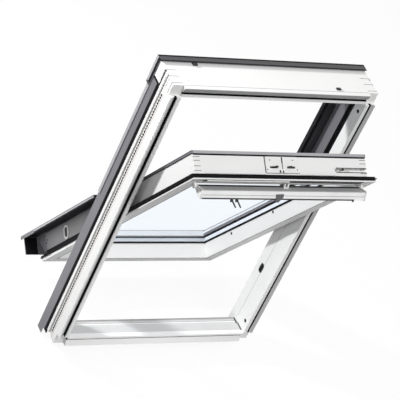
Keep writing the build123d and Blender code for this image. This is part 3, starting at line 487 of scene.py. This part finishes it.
def add_discs(name, places, radius, rise, place, body, material):
    """Screw heads on a face that looks along the third axis, each with a sunk middle."""
    mesh = bmesh.new()
    turns = [2 * math.pi * step / DISC_SIDES for step in range(DISC_SIDES)]
    for x, y, z in places:
        rings = []
        for reach_share, rise_share in DISC_PROFILE_SHARES:
            reach = radius * reach_share
            height = z + rise * rise_share
            ring = []
            for turn in turns:
                point = Vector((x + reach * math.cos(turn), y + reach * math.sin(turn), height))
                ring.append(mesh.verts.new(place @ (point * MM)))
            rings.append(ring)
        for inner, outer in zip(rings, rings[1:]):
            for step in range(DISC_SIDES):
                after = (step + 1) % DISC_SIDES
                mesh.faces.new((inner[step], inner[after], outer[after], outer[step]))
        mesh.faces.new(rings[-1])
    add_piece(name, mesh, body, material, edge=0)


def add_plates(name, outlines, z, place, body, material, edge=SMALL_EDGE):
    """Flat plates with the given outlines on the first two axes, between two heights on the third."""
    mesh = bmesh.new()
    for outline in outlines:
        levels = []
        for height in z:
            levels.append([mesh.verts.new(place @ (Vector((x, y, height)) * MM)) for x, y in outline])
        count = len(outline)
        for step in range(count):
            after = (step + 1) % count
            mesh.faces.new((levels[0][step], levels[0][after], levels[1][after], levels[1][step]))
        for level in levels:
            mesh.faces.new(level)
    add_piece(name, mesh, body, material, edge)


def oval(centre, length, width, upright):
    """Outline of a slot with round ends."""
    points = []
    for step in range(OVAL_STEPS):
        turn = 2 * math.pi * (step + 0.5) / OVAL_STEPS
        end = 1 if step < OVAL_STEPS / 2 else -1
        along = width / 2 * math.sin(turn) + (length - width) / 2 * end
        aside = width / 2 * math.cos(turn)
        offset = (aside, along) if upright else (along, aside)
        points.append((centre[0] + offset[0], centre[1] + offset[1]))
    return points


# Places for pieces measured in millimetres: across, deep from the frame's room face, up the slope.
# The sash is measured shut; the control bar from its hinge, along its plate.
FRAME_PLACE = Matrix.Translation((0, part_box("frame_jamb_left")[0].y, 0))
SASH_PLACE = OPEN @ FRAME_PLACE
bar_hinge = joints["control_bar_hinge"]
BAR_TILT = -SASH_TILT - bar_hinge["range_deg"][0]
BAR_PLACE = Matrix.Translation(bar_hinge["pos_m"]) @ Matrix.Rotation(math.radians(BAR_TILT), 4, "X")
# Pieces on faces that look sideways are drawn as deep, up, across
SIDEWAYS = Matrix(((0, 0, 1, 0), (1, 0, 0, 0), (0, 1, 0, 0), (0, 0, 0, 1)))

# Sizes of frame and sash that several pieces follow, in millimetres
SKIN = 0.4
CLEAR_X = 352.0
CLEAR_Z = (42.0, 1137.0)
JAMB_INNER_X = 354.0
JAMB_OUTER_X = 390.0
FRAME_TOP = 1178.0
COVER_X = 392.0
HOOD_X = 394.0
HOOD_TOP = 1185.5
SIGHT_X = 303.0
SIGHT_Z = (92.0, 1087.0)
BODY_X = 327.0
RIM_X = 345.0
RIM_TOP = 1133.0
RAIL_FACE = 1115.5
SHEET_FACE_X = 329.0

# Groove for the room lining: black strips of painted shade over its bottom and walls, and over its outer lip on
# the right
GROOVE_X = (365.0, 374.0)
GROOVE_HEAD_Z = (1149.0, 1158.0)
GROOVE_SILL_Z = (24.0, 33.0)
GROOVE_BOTTOM_Y = (11.4, 12.0)
INNER_WALL_Y = (4.0, 12.0)
OUTER_WALL_Y = (6.5, 12.0)
LIP_W = 2.5
LIP_Y = (4.4, 6.8)
groove = both_sides([
    (GROOVE_X, GROOVE_BOTTOM_Y, CLEAR_Z),
    (layer(GROOVE_X[0], SKIN), INNER_WALL_Y, CLEAR_Z),
    (layer(GROOVE_X[1], -SKIN), OUTER_WALL_Y, CLEAR_Z),
])
for low, high in (GROOVE_HEAD_Z, GROOVE_SILL_Z):
    groove.append((across(CLEAR_X), GROOVE_BOTTOM_Y, (low, high)))
    groove.append((across(CLEAR_X), OUTER_WALL_Y, layer(low, SKIN)))
    groove.append((across(CLEAR_X), OUTER_WALL_Y, layer(high, -SKIN)))
groove.append((layer(GROOVE_X[1], LIP_W), LIP_Y, CLEAR_Z))
add_strips("lining_groove", groove, FRAME_PLACE, "frame", BLACK)

# Grooves along the jambs' outer sides: two rows of dark ticks of painted shade and two lines of bare timber
SIDE_GROOVE_X = 385.0
SIDE_GROOVE_Z = (2.0, 1115.0)
TICK_RISE = 2.2
TICK_ROWS = ((48.0, 53.0, 0.0), (53.0, 58.0, 6.0))
TICK_L = 6.0
TICK_PITCH = 12.0
WALL_WOOD_Y = (46.0, 46.4)
FACE_WOOD_Y = (39.5, 41.0)
ticks = []
for near, far, start in TICK_ROWS:
    count = int((SIDE_GROOVE_Z[1] - start) / TICK_PITCH)
    heights = [start + TICK_PITCH * step for step in range(1, count)]
    ticks += [(layer(SIDE_GROOVE_X, TICK_RISE), (near, far), layer(z, TICK_L)) for z in heights]
add_strips("side_groove_shade_ticks", both_sides(ticks), FRAME_PLACE, "frame", SHADE_TICKS)
wood = [
    ((SIDE_GROOVE_X, JAMB_OUTER_X), WALL_WOOD_Y, SIDE_GROOVE_Z),
    (around(JAMB_OUTER_X, SKIN), FACE_WOOD_Y, SIDE_GROOVE_Z),
]
add_strips("side_groove_wood", both_sides(wood), FRAME_PLACE, "frame", WOOD)

# Sloping land outside the lining groove: a band of painted shade, wider on the right and at the head
LAND_W = 16.0
LAND_FALL = 6.0
LAND_EDGE = 374.2
LEFT_BAND_END = 380.0
RIGHT_BAND_END = 389.0
HEAD_BAND_Y = (6.0, 0.6)
HEAD_BAND_Z = (1158.2, 1176.0)


def band_outline(starts, ends):
    """Outline of a thin band between two points given as place and depth."""
    (near, near_y), (far, far_y) = starts, ends
    return [(near, near_y - SKIN), (far, far_y - SKIN), (far, far_y + SKIN), (near, near_y + SKIN)]


def land_band(side, end):
    """Band on a jamb's land, from the groove's edge to a place nearer the outside."""
    end_depth = LAND_FALL - LAND_FALL * (end - LAND_EDGE) / LAND_W
    return band_outline((side * LAND_EDGE, LAND_FALL), (side * end, end_depth))


bands = [land_band(-1, LEFT_BAND_END), land_band(1, RIGHT_BAND_END)]
add_plates("jamb_land_bands", bands, CLEAR_Z, FRAME_PLACE, "frame", LAND_SHADE, edge=0)
head_band = [(y, z) for z, y in band_outline(*zip(HEAD_BAND_Z, HEAD_BAND_Y))]
add_plates("head_land_band", [head_band], across(CLEAR_X), FRAME_PLACE @ SIDEWAYS,
           "frame", HEAD_SHADE, edge=0)

# Bushes in the stile sheets and the jambs: black plates of painted shade in their holes. Stiles: plugs. Stile
# sheets: screws.
STILE_HOLE_AT = (104.0, 224.0)
STILE_HOLE_L = 36.0
STILE_HOLE_W = 20.0
STILE_HOLE_X = (328.8, 329.6)
JAMB_HOLE_AT = (80.0, 295.0)
JAMB_HOLE_L = 30.0
JAMB_HOLE_W = 10.0
JAMB_HOLE_X = (353.5, 358.6)
PLUGS_AT = ((85.6, 282.0), (89.0, 569.0))
PLUG_R = 5.5
PLUG_RISE = 0.5
SHEET_SCREWS_AT = ((112.5, 76.0), (104.0, 66.0))
SHEET_SCREW_R = 3.6
SHEET_SCREW_RISE = 0.6
for side, name in ((-1, "left"), (1, "right")):
    hole = oval(STILE_HOLE_AT, STILE_HOLE_L, STILE_HOLE_W, upright=False)
    add_plates("stile_bush_hole_" + name, [hole], [side * x for x in STILE_HOLE_X], SASH_PLACE @ SIDEWAYS,
               "sash", BLACK_MOULDED_AND_SHADE, edge=0)
    hole = oval(JAMB_HOLE_AT, JAMB_HOLE_L, JAMB_HOLE_W, upright=True)
    add_plates("jamb_bush_hole_" + name, [hole], [side * x for x in JAMB_HOLE_X], FRAME_PLACE @ SIDEWAYS,
               "frame", BLACK, edge=0)
    plugs = [(*place, side * SIGHT_X) for place in PLUGS_AT]
    add_discs("stile_plugs_" + name, plugs, PLUG_R, -side * PLUG_RISE, SASH_PLACE @ SIDEWAYS,
              "sash", BLACK_MOULDED_AND_SHADE)
    screws = [(*place, side * SHEET_FACE_X) for place in SHEET_SCREWS_AT]
    add_discs("sheet_screws_" + name, screws, SHEET_SCREW_R, side * SHEET_SCREW_RISE, SASH_PLACE @ SIDEWAYS,
              "sash", SEAM)

# Bottom cladding of the sash: a black strip inside its lip, and painted shade under the lower covers beside it
CLADDING_LIP = ((331.0, 378.0), (80.5, 142.0), (-5.0, -4.5))
COVER_INSIDE = ((331.0, 388.0), (143.0, 143.5), (-4.5, 555.0))
ends = both_sides([CLADDING_LIP, COVER_INSIDE])
add_strips("bottom_cladding_ends", ends, SASH_PLACE, "sash", BLACK)

# Hood: black lines of painted shade along its leg and its returns, and painted highlight on its returns and their
# fold
HOOD_SHADE_Y = ((146.0, 152.2), (122.8, 127.5))
RETURN_SHADE_Y = (131.8, 141.0)
RETURN_SHADE_Z = (1085.0, HOOD_TOP)
RETURN_Y = (141.5, 151.5)
RETURN_Z = (1086.0, HOOD_TOP)
FOLD_X = (392.0, HOOD_X + SKIN)
FOLD_Y = (151.0, 152.2)
edging = [(across(HOOD_X), y, layer(HOOD_TOP, SKIN)) for y in HOOD_SHADE_Y]
edging += both_sides([(layer(HOOD_X, SKIN), RETURN_SHADE_Y, RETURN_SHADE_Z)])
add_strips("hood_shade_lines", edging, FRAME_PLACE, "frame", BLACK)
returns = both_sides([(layer(HOOD_X, SKIN), RETURN_Y, RETURN_Z), (FOLD_X, FOLD_Y, RETURN_Z)])
add_strips("hood_returns", returns, FRAME_PLACE, "frame", LEG)

# Comb joints of the frame and the sash: the lines between the fingers, and a painted shadow line along the head's
# edge
SEAM_W = 1.7
FRAME_FINGERS_Y = (27.0, 59.2, 89.1)
HEAD_SHADE_LINE_Y = (16.1, 17.4)
HEAD_SHADE_LINE_Z = (1176.8, 1177.8)
SASH_FINGERS_Y = (75.0, 90.0, 108.0, 120.0)
seams = []
for depth in FRAME_FINGERS_Y:
    y = around(depth, SEAM_W)
    seams.append(((CLEAR_X, JAMB_OUTER_X + SKIN / 2), y, around(FRAME_TOP, SKIN)))
    seams.append((around(JAMB_OUTER_X, SKIN), y, (CLEAR_Z[1], FRAME_TOP + SKIN / 2)))
seams.append(((0.0, CLEAR_X), HEAD_SHADE_LINE_Y, HEAD_SHADE_LINE_Z))
add_strips("frame_joint_and_shade_lines", both_sides(seams), FRAME_PLACE, "frame", SEAM)
seams = [((SIGHT_X, BODY_X), around(depth, SEAM_W), around(RAIL_FACE, SKIN)) for depth in SASH_FINGERS_Y]
add_strips("sash_joint_lines", both_sides(seams), SASH_PLACE, "sash", SEAM)

# Sill, all painted shade: dark beads in the corners, grey lines along its step and grey bands
STEP_Z = 34.0
STEP_Y = (50.0, 83.0)
SILL_LAND_Y = (16.0, 50.0)
CORNER_SHADE_W = 3.5
CORNER_SHADE_RISE = 2.5
SILL_LINES_Y = ((50.0, 52.5), (68.5, 70.5), (77.0, 83.0))
STEP_BANDS_Y = ((53.0, 64.0), (71.0, 77.0))
SILL_BAND_Y = (18.0, 49.0)
BAND_X = 350.0
BAND_T = 0.3
bead = both_sides([
    ((CLEAR_X - CORNER_SHADE_W, CLEAR_X), SILL_LAND_Y, layer(CLEAR_Z[0], CORNER_SHADE_RISE)),
    ((JAMB_INNER_X - CORNER_SHADE_W, JAMB_INNER_X), STEP_Y, layer(STEP_Z, CORNER_SHADE_W)),
])
add_strips("sill_corner_shade", bead, FRAME_PLACE, "frame", SEAM)
lines = [(across(CLEAR_X), y, layer(STEP_Z, SKIN)) for y in SILL_LINES_Y]
add_strips("sill_lines", lines, FRAME_PLACE, "frame", FINE)
bands = [(across(BAND_X), y, layer(STEP_Z, BAND_T)) for y in STEP_BANDS_Y]
bands.append((across(BAND_X), SILL_BAND_Y, layer(CLEAR_Z[0], BAND_T)))
add_strips("sill_bands", bands, FRAME_PLACE, "frame", SILL_SHADE)

# Jambs: fine line of painted shade along the middle of their inner faces
JAMB_LINE = ((353.7, 354.2), (71.0, 73.5), (60.0, 1080.0))
add_strips("jamb_inner_line", both_sides([JAMB_LINE]), FRAME_PLACE, "frame", SILL_SHADE)

# Covers: painted highlight on the side legs and painted shade on the undersides; the lower covers' legs have a
# black rim of painted shade
COVER_END = 1.0
UPPER_LEG_Y = (131.0, 144.5)
UNDERSIDE_X = (304.0, 388.0)
UNDERSIDE_Y = (143.1, 143.5)
LOWER_LEG_Y = (136.5, 141.0)
LOWER_SHADE_Y = (132.6, 136.0)
LOWER_LEG_Z = (101.0, 563.0)
low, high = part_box("upper_side_cover_right")
cover_z = grown((low.z / MM, high.z / MM), -COVER_END)
leg_x = layer(COVER_X, SKIN)
legs = both_sides([(leg_x, UPPER_LEG_Y, cover_z)])
add_strips("cover_legs", legs, FRAME_PLACE, "frame", LEG)
undersides = both_sides([(UNDERSIDE_X, UNDERSIDE_Y, cover_z)])
add_strips("cover_undersides", undersides, FRAME_PLACE, "frame", DARK)
legs = both_sides([(leg_x, LOWER_LEG_Y, LOWER_LEG_Z)])
add_strips("lower_cover_legs", legs, SASH_PLACE, "sash", LEG)
rims = both_sides([(leg_x, LOWER_SHADE_Y, LOWER_LEG_Z)])
add_strips("lower_cover_shade_lines", rims, SASH_PLACE, "sash", BLACK)

# Sash: shadow line round its room face
FACE_LINE_X = 305.5
FACE_LINE_W = 2.0
FACE_LINE_Y = (41.6, 42.3)
face_line = ring_boxes(FACE_LINE_X, grown(SIGHT_Z, FACE_LINE_W), FACE_LINE_W, FACE_LINE_Y)
add_strips("sash_face_line", face_line, SASH_PLACE, "sash", SEAM)

# Glazing: black lines at both panes, the spacer's bright wall between them, black strips of painted shade in the
# gap under the cladding, and a painted highlight along the edge outside
INNER_LINE_IN = 2.0
INNER_LINE_W = 4.0
INNER_LINE_Y = (96.5, 100.4)
SPACER_IN = 0.4
SPACER_BACK = 1.0
SPACER_W = 2.5
SPACER_Y = (104.6, 117.0)
OUTER_LINE_IN = 1.0
OUTER_LINE_W = 3.0
OUTER_LINE_Y = (117.0, 120.4)
GAP_SHADE_X = (300.0, 314.0)
GAP_SHADE_Y = (124.6, 133.0)
inner_line = ring_boxes(SIGHT_X - INNER_LINE_IN, grown(SIGHT_Z, -INNER_LINE_IN), INNER_LINE_W, INNER_LINE_Y)
add_strips("inner_glass_line", inner_line, SASH_PLACE, "sash", BLACK)
spacer = ring_boxes(SIGHT_X - SPACER_IN, grown(SIGHT_Z, SPACER_BACK), SPACER_W, SPACER_Y)
add_strips("spacer_wall", spacer, SASH_PLACE, "sash", SPACER_SHADE)
outer_line = ring_boxes(SIGHT_X - OUTER_LINE_IN, SIGHT_Z, OUTER_LINE_W, OUTER_LINE_Y)
outer_line += both_sides([(GAP_SHADE_X, GAP_SHADE_Y, SIGHT_Z)])
add_strips("outer_glass_line", outer_line, SASH_PLACE, "sash", BLACK)
EDGE_X = 298.0
EDGE_T = 0.5
EDGE_LIP_T = 0.6
SIDE_EDGE_Y = (133.0, 140.4)
SIDE_EDGE_Z = (101.0, 1086.0)
BOTTOM_EDGE_Y = (124.6, 143.4)
BOTTOM_EDGE_Z = (100.0, 100.5)
edges = both_sides([
    (layer(EDGE_X, EDGE_T), SIDE_EDGE_Y, SIDE_EDGE_Z),
    ((EDGE_X, GAP_SHADE_X[0]), layer(SIDE_EDGE_Y[0], EDGE_LIP_T), SIDE_EDGE_Z),
])
edges.append((across(EDGE_X), BOTTOM_EDGE_Y, BOTTOM_EDGE_Z))
edges.append((across(EDGE_X), layer(BOTTOM_EDGE_Y[0], EDGE_LIP_T), (SIGHT_Z[0], BOTTOM_EDGE_Z[1])))
add_strips("glass_bright_edge", edges, SASH_PLACE, "sash", BRIGHT_EDGE)

# Lock plate: painted shadow round it, a black inset of painted shade in its slit, two tabs and four screws
LOCK_X = 63.0
LOCK_Y = (71.0, 125.0)
LOCK_BASE_Z = (1115.5, 1116.4)
LOCK_FACE = 1118.5
LEFT_GAP_W = 2.2
RIGHT_GAP_W = 0.8
LOWER_GAP_W = 1.2
SLITS = ((2.2, (104.0, 124.0)), (1.3, (84.0, 104.0)))
SLIT_SINK = 1.0
SLIT_Z = (LOCK_FACE - SLIT_SINK, LOCK_FACE + SKIN)
LOCK_TABS = (((-13.0, -8.0), (71.5, 80.0)), ((-1.5, 3.5), (71.5, 79.0)))
LOCK_TAB_RISE = 1.0
LOCK_SCREWS_AT = ((-46.0, 113.5), (41.0, 114.0), (-58.0, 82.0), (55.0, 82.0))
LOCK_SCREW_R = 2.0
LOCK_SCREW_RISE = 0.5
dark_parts = [
    (layer(-LOCK_X, -LEFT_GAP_W), LOCK_Y, LOCK_BASE_Z),
    (layer(LOCK_X, RIGHT_GAP_W), LOCK_Y, LOCK_BASE_Z),
    (across(LOCK_X), layer(LOCK_Y[0], -LOWER_GAP_W), LOCK_BASE_Z),
]
dark_parts += [(across(half), y, SLIT_Z) for half, y in SLITS]
dark_parts += [(x, y, layer(LOCK_FACE, LOCK_TAB_RISE)) for x, y in LOCK_TABS]
add_strips("lock_dark_parts", dark_parts, SASH_PLACE, "sash", BLACK_MOULDED_AND_SHADE)
screws = [(*place, LOCK_FACE) for place in LOCK_SCREWS_AT]
add_discs("lock_screws", screws, LOCK_SCREW_R, LOCK_SCREW_RISE, SASH_PLACE, "sash", SEAM)

# Top rail: fine line along it, black foot of the seal, painted shade in the recess behind the control bar
RAIL_LINES_X = ((-290.0, -LOCK_X), (LOCK_X, 200.0))
RAIL_LINE_Y = (66.0, 67.2)
TOP_FOOT_Y = (46.5, 52.0)
TOP_HEEL_Y = (60.0, 62.0)
SIDE_FOOT_Y = (46.5, 53.0)
SIDE_HEEL_Y = (59.5, 63.0)
HEEL_T = 1.5
SIDE_FOOT_START = 700.0
RECESS_X = 300.0
RECESS_Y = (41.5, 42.2)
RECESSES_Z = ((1110.5, 1121.5), (1126.5, 1131.0))
lines = [(x, RAIL_LINE_Y, layer(RAIL_FACE, SKIN)) for x in RAIL_LINES_X]
add_strips("top_rail_line", lines, SASH_PLACE, "sash", FINE)
foot = [
    (across(RIM_X), TOP_FOOT_Y, layer(RIM_TOP, SKIN)),
    (across(BODY_X), TOP_HEEL_Y, layer(RAIL_FACE, HEEL_T)),
]
foot += both_sides([
    (layer(RIM_X, SKIN), SIDE_FOOT_Y, (SIDE_FOOT_START, RIM_TOP)),
    (layer(BODY_X, HEEL_T), SIDE_HEEL_Y, (SIDE_FOOT_START, RAIL_FACE)),
])
add_strips("gasket_foot", foot, SASH_PLACE, "sash", BLACK)
recesses = [(across(RECESS_X), RECESS_Y, z) for z in RECESSES_Z]
add_strips("bar_recess", recesses, SASH_PLACE, "sash", DARK)

# Top cladding of the sash: painted highlight on its leg and fold, and a black line of painted shade under it
TOP_LEG = (across(325.0), (131.0, 139.5), (1117.0, 1117.4))
TOP_FOLD = (across(326.0), (139.0, 140.4), (1116.0, 1117.3))
TOP_LINE_Y = (125.5, 130.0)
TOP_LINE_T = 0.6
TOP_STEP_Y = (129.0, 130.0)
TOP_STEP_T = 1.4
add_strips("top_cladding_leg", [TOP_LEG, TOP_FOLD], SASH_PLACE, "sash", LEG)
lines = [
    (across(BODY_X), TOP_LINE_Y, layer(RAIL_FACE, TOP_LINE_T)),
    (across(BODY_X), TOP_STEP_Y, layer(RAIL_FACE, TOP_STEP_T)),
]
add_strips("top_cladding_line", lines, SASH_PLACE, "sash", BLACK)

# Side claddings of the sash: black lines along both edges of their legs
SIDE_LINE_X = (328.8, 329.4)
SIDE_LINES_Y = ((129.6, 132.2), (138.2, 140.4))
SIDE_LINE_Z = (720.0, 1115.0)
lines = both_sides([(SIDE_LINE_X, y, SIDE_LINE_Z) for y in SIDE_LINES_Y])
add_strips("side_cladding_lines", lines, SASH_PLACE, "sash", BLACK)

# Bolt: black lines of painted shade round its slot, cap on its knob and a spring round its collar
SLOT_X = (207.0, BODY_X)
SLOT_LINES_Y = ((76.5, 78.8), (91.2, 93.5))
SLOT_LINE_Z = (1115.3, 1115.9)
SLOT_END = ((202.5, 204.8), (80.0, 90.0), SLOT_LINE_Z)
BOLT_AXIS = (85.0, 1103.5)
KNOB_X = 227.0
KNOB_CAP_R = 5.0
KNOB_CAP_RISE = 0.8
SPRING_X = (238.5, 263.5)
SPRING_TURNS = 7
SPRING_STEPS = 16
SPRING_R = 5.3
WIRE_R = 0.6
WIRE_SIDES = 6
outline = [(SLOT_X, y, SLOT_LINE_Z) for y in SLOT_LINES_Y]
outline.append(SLOT_END)
add_strips("bolt_slot_outline", outline, SASH_PLACE, "sash", BLACK)
knob_cap = (KNOB_X, BOLT_AXIS[0], shut_top("barrel_bolt"))
add_discs("knob_cap", [knob_cap], KNOB_CAP_R, KNOB_CAP_RISE, SASH_PLACE,
          "barrel_bolt", BLACK_MOULDED_AND_SHADE)


def wire_ring(x, turn):
    """Points round the spring's wire at one place of the coil."""
    ring = []
    for side in range(WIRE_SIDES):
        angle = 2 * math.pi * side / WIRE_SIDES
        reach = SPRING_R + WIRE_R * math.cos(angle)
        deep = BOLT_AXIS[0] + reach * math.cos(turn)
        up = BOLT_AXIS[1] + reach * math.sin(turn)
        ring.append(Vector((x + WIRE_R * math.sin(angle), deep, up)))
    return ring


def add_spring():
    """Coil of round wire on the bolt's collar."""
    mesh = bmesh.new()
    steps = SPRING_TURNS * SPRING_STEPS
    rings = []
    for step in range(steps + 1):
        x = SPRING_X[0] + (SPRING_X[1] - SPRING_X[0]) * step / steps
        points = wire_ring(x, 2 * math.pi * step / SPRING_STEPS)
        rings.append([mesh.verts.new(SASH_PLACE @ (point * MM)) for point in points])
    for before, after in zip(rings, rings[1:]):
        for side in range(WIRE_SIDES):
            other = (side + 1) % WIRE_SIDES
            mesh.faces.new((before[side], before[other], after[other], after[side]))
    mesh.faces.new(rings[0])
    mesh.faces.new(rings[-1])
    add_piece("bolt_spring", mesh, "barrel_bolt", CLAW_STEEL, edge=0)


add_spring()

# Control bar, painted shade: black line along the lower edge of its front, grey on its plate, a dark line at its
# barrel and grey lines in its grooves
BAR_X = 306.0
FRONT_LINE = ((-BAR_X, 266.0), (-27.5, -23.0), (40.4, 41.8))
FRONT_LINE_END = ((264.0, 269.0), (-32.0, -23.0), (39.0, 41.8))
PLATE_FACE = (across(BAR_X), (1.5, 1.9), (5.0, 37.0))
PLATE_RIB = (across(BAR_X), (1.9, 2.4), (34.0, 37.0))
BARREL_TOP = (across(BAR_X), (3.4, 4.3), (-2.6, 2.6))
BARREL_SIDE = (across(BAR_X), (1.5, 3.6), (2.0, 5.0))
BAR_GROOVES_X = ((-BAR_X, -40.0), (0.0, BAR_X))
BAR_GROOVE_Y = (-14.4, -12.6)
BAR_GROOVE_Z = (40.5, 41.7)
front_line = [FRONT_LINE, FRONT_LINE_END]
add_strips("bar_edge_line", front_line, BAR_PLACE, "control_bar", BLACK_MOULDED_AND_SHADE)
plate = [PLATE_FACE, PLATE_RIB]
add_strips("bar_plate_face", plate, BAR_PLACE, "control_bar", BAR_SHADE)
barrel = [BARREL_TOP, BARREL_SIDE]
add_strips("bar_barrel_line", barrel, BAR_PLACE, "control_bar", BLACK_MOULDED_AND_SHADE)
grooves = [(x, BAR_GROOVE_Y, BAR_GROOVE_Z) for x in BAR_GROOVES_X]
add_strips("bar_groove_line", grooves, BAR_PLACE, "control_bar", FINE)

# Control bar: tab on its front and two black hook shapes below it
BAR_TAB = ((-36.0, -9.0), (-6.0, -8.0), (-6.0, -17.5), (-21.0, -36.0), (-30.0, -35.0))
BAR_TAB_Z = (40.5, 43.5)
HOOK = (
    (-201.0, -27.0), (-191.0, -27.0), (-188.0, -34.0), (-172.0, -56.0),
    (-177.0, -57.0), (-192.0, -37.0), (-199.0, -38.0),
)
HOOK_PITCH = 19.0
HOOK_Z = (38.5, 40.5)
add_plates("bar_tab", [BAR_TAB], BAR_TAB_Z, BAR_PLACE,
           "control_bar", MATERIALS["grey_plastic"])
hooks = [HOOK, [(x + HOOK_PITCH, y) for x, y in HOOK]]
add_plates("bar_hooks", hooks, HOOK_Z, BAR_PLACE, "control_bar", BLACK_MOULDED_AND_SHADE)


# Camera, lamps, floor and background
def look(place, forward, up):
    back = -Vector(forward).normalized()
    right = Vector(up).cross(back).normalized()
    true_up = back.cross(right)
    turn = Matrix((right, true_up, back)).transposed().to_4x4()
    return Matrix.Translation(place) @ turn


def add_camera():
    data = bpy.data.cameras.new("camera")
    data.sensor_width = SENSOR
    data.lens = SENSOR * FOCAL_SHARE
    data.clip_end = CLIP_END
    camera = bpy.data.objects.new("camera", data)
    bpy.context.scene.collection.objects.link(camera)
    camera.matrix_world = look(CAMERA_PLACE, CAMERA_FORWARD, CAMERA_UP)
    bpy.context.scene.camera = camera


def add_lamp(name, place, aim, size, power):
    data = bpy.data.lights.new(name, "AREA")
    data.shape = "DISK"
    data.size = size
    data.energy = power
    lamp = bpy.data.objects.new(name, data)
    bpy.context.scene.collection.objects.link(lamp)
    lamp.matrix_world = look(place, Vector(aim) - Vector(place), (0, 0, 1))
    lamp.visible_camera = False
    lamp.visible_transmission = False
    lamp.visible_glossy = False


def add_far_lamp(name, direction, distance, size, power):
    """Lamp far off in a direction, aimed at the middle of the window."""
    aim = (cad_box[0] + cad_box[1]) / 2
    add_lamp(name, aim + distance * Vector(direction).normalized(), aim, size, power)


def seen_directly(tree):
    """1 for camera, glossy and transmission rays, and 0 for the rest."""
    path = tree.nodes.new("ShaderNodeLightPath")
    total = path.outputs["Is Camera Ray"]
    for name in ("Is Glossy Ray", "Is Transmission Ray"):
        larger = tree.nodes.new("ShaderNodeMath")
        larger.operation = "MAXIMUM"
        tree.links.new(total, larger.inputs[0])
        tree.links.new(path.outputs[name], larger.inputs[1])
        total = larger.outputs[0]
    return total


def shader_node(tree, kind, value, strength=None):
    node = tree.nodes.new(kind)
    node.inputs["Color"].default_value = (value, value, value, 1)
    if strength is not None:
        node.inputs["Strength"].default_value = strength
    return node.outputs[0]


def add_floor():
    """Pale floor that glows white for the camera and keeps the window's shadow."""
    data = bpy.data.meshes.new("floor")
    mesh = bmesh.new()
    bmesh.ops.create_grid(mesh, x_segments=FLOOR_CELLS, y_segments=FLOOR_CELLS, size=FLOOR_HALF)
    mesh.to_mesh(data)
    mesh.free()
    floor = bpy.data.objects.new("floor", data)
    bpy.context.scene.collection.objects.link(floor)
    floor.location.z = -FLOOR_DROP
    material = bpy.data.materials.new("pale_floor")
    material.use_nodes = True
    tree = material.node_tree
    tree.nodes.clear()
    glow = tree.nodes.new("ShaderNodeAddShader")
    tree.links.new(shader_node(tree, "ShaderNodeEmission", 1.0, FLOOR_GLOW), glow.inputs[0])
    tree.links.new(shader_node(tree, "ShaderNodeBsdfDiffuse", FLOOR_SHADE), glow.inputs[1])
    choice = tree.nodes.new("ShaderNodeMixShader")
    tree.links.new(seen_directly(tree), choice.inputs[0])
    tree.links.new(shader_node(tree, "ShaderNodeBsdfDiffuse", FLOOR_BOUNCE), choice.inputs[1])
    tree.links.new(glow.outputs[0], choice.inputs[2])
    output = tree.nodes.new("ShaderNodeOutputMaterial")
    tree.links.new(choice.outputs[0], output.inputs["Surface"])
    data.materials.append(material)


def add_world():
    """White background for the camera, and a weak even light for the rest."""
    world = bpy.data.worlds.new("world")
    bpy.context.scene.world = world
    world.use_nodes = True
    tree = world.node_tree
    tree.nodes.clear()
    choice = tree.nodes.new("ShaderNodeMixShader")
    tree.links.new(seen_directly(tree), choice.inputs[0])
    tree.links.new(shader_node(tree, "ShaderNodeBackground", 1.0, AMBIENT), choice.inputs[1])
    tree.links.new(shader_node(tree, "ShaderNodeBackground", 1.0, 1.0), choice.inputs[2])
    output = tree.nodes.new("ShaderNodeOutputWorld")
    tree.links.new(choice.outputs[0], output.inputs["Surface"])


add_camera()
add_far_lamp("key", KEY_DIRECTION, KEY_DISTANCE, KEY_SIZE, KEY_POWER)
add_far_lamp("top", TOP_DIRECTION, TOP_DISTANCE, TOP_SIZE, TOP_POWER)
add_far_lamp("side", SIDE_DIRECTION, SIDE_DISTANCE, SIDE_SIZE, SIDE_POWER)
add_lamp("sill", SILL_LAMP_PLACE, SILL_LAMP_AIM, SILL_LAMP_SIZE, SILL_LAMP_POWER)
add_lamp("cover", COVER_LAMP_PLACE, COVER_LAMP_AIM, COVER_LAMP_SIZE, COVER_LAMP_POWER)
add_floor()
add_world()
bpy.context.scene.view_settings.view_transform = "Standard"
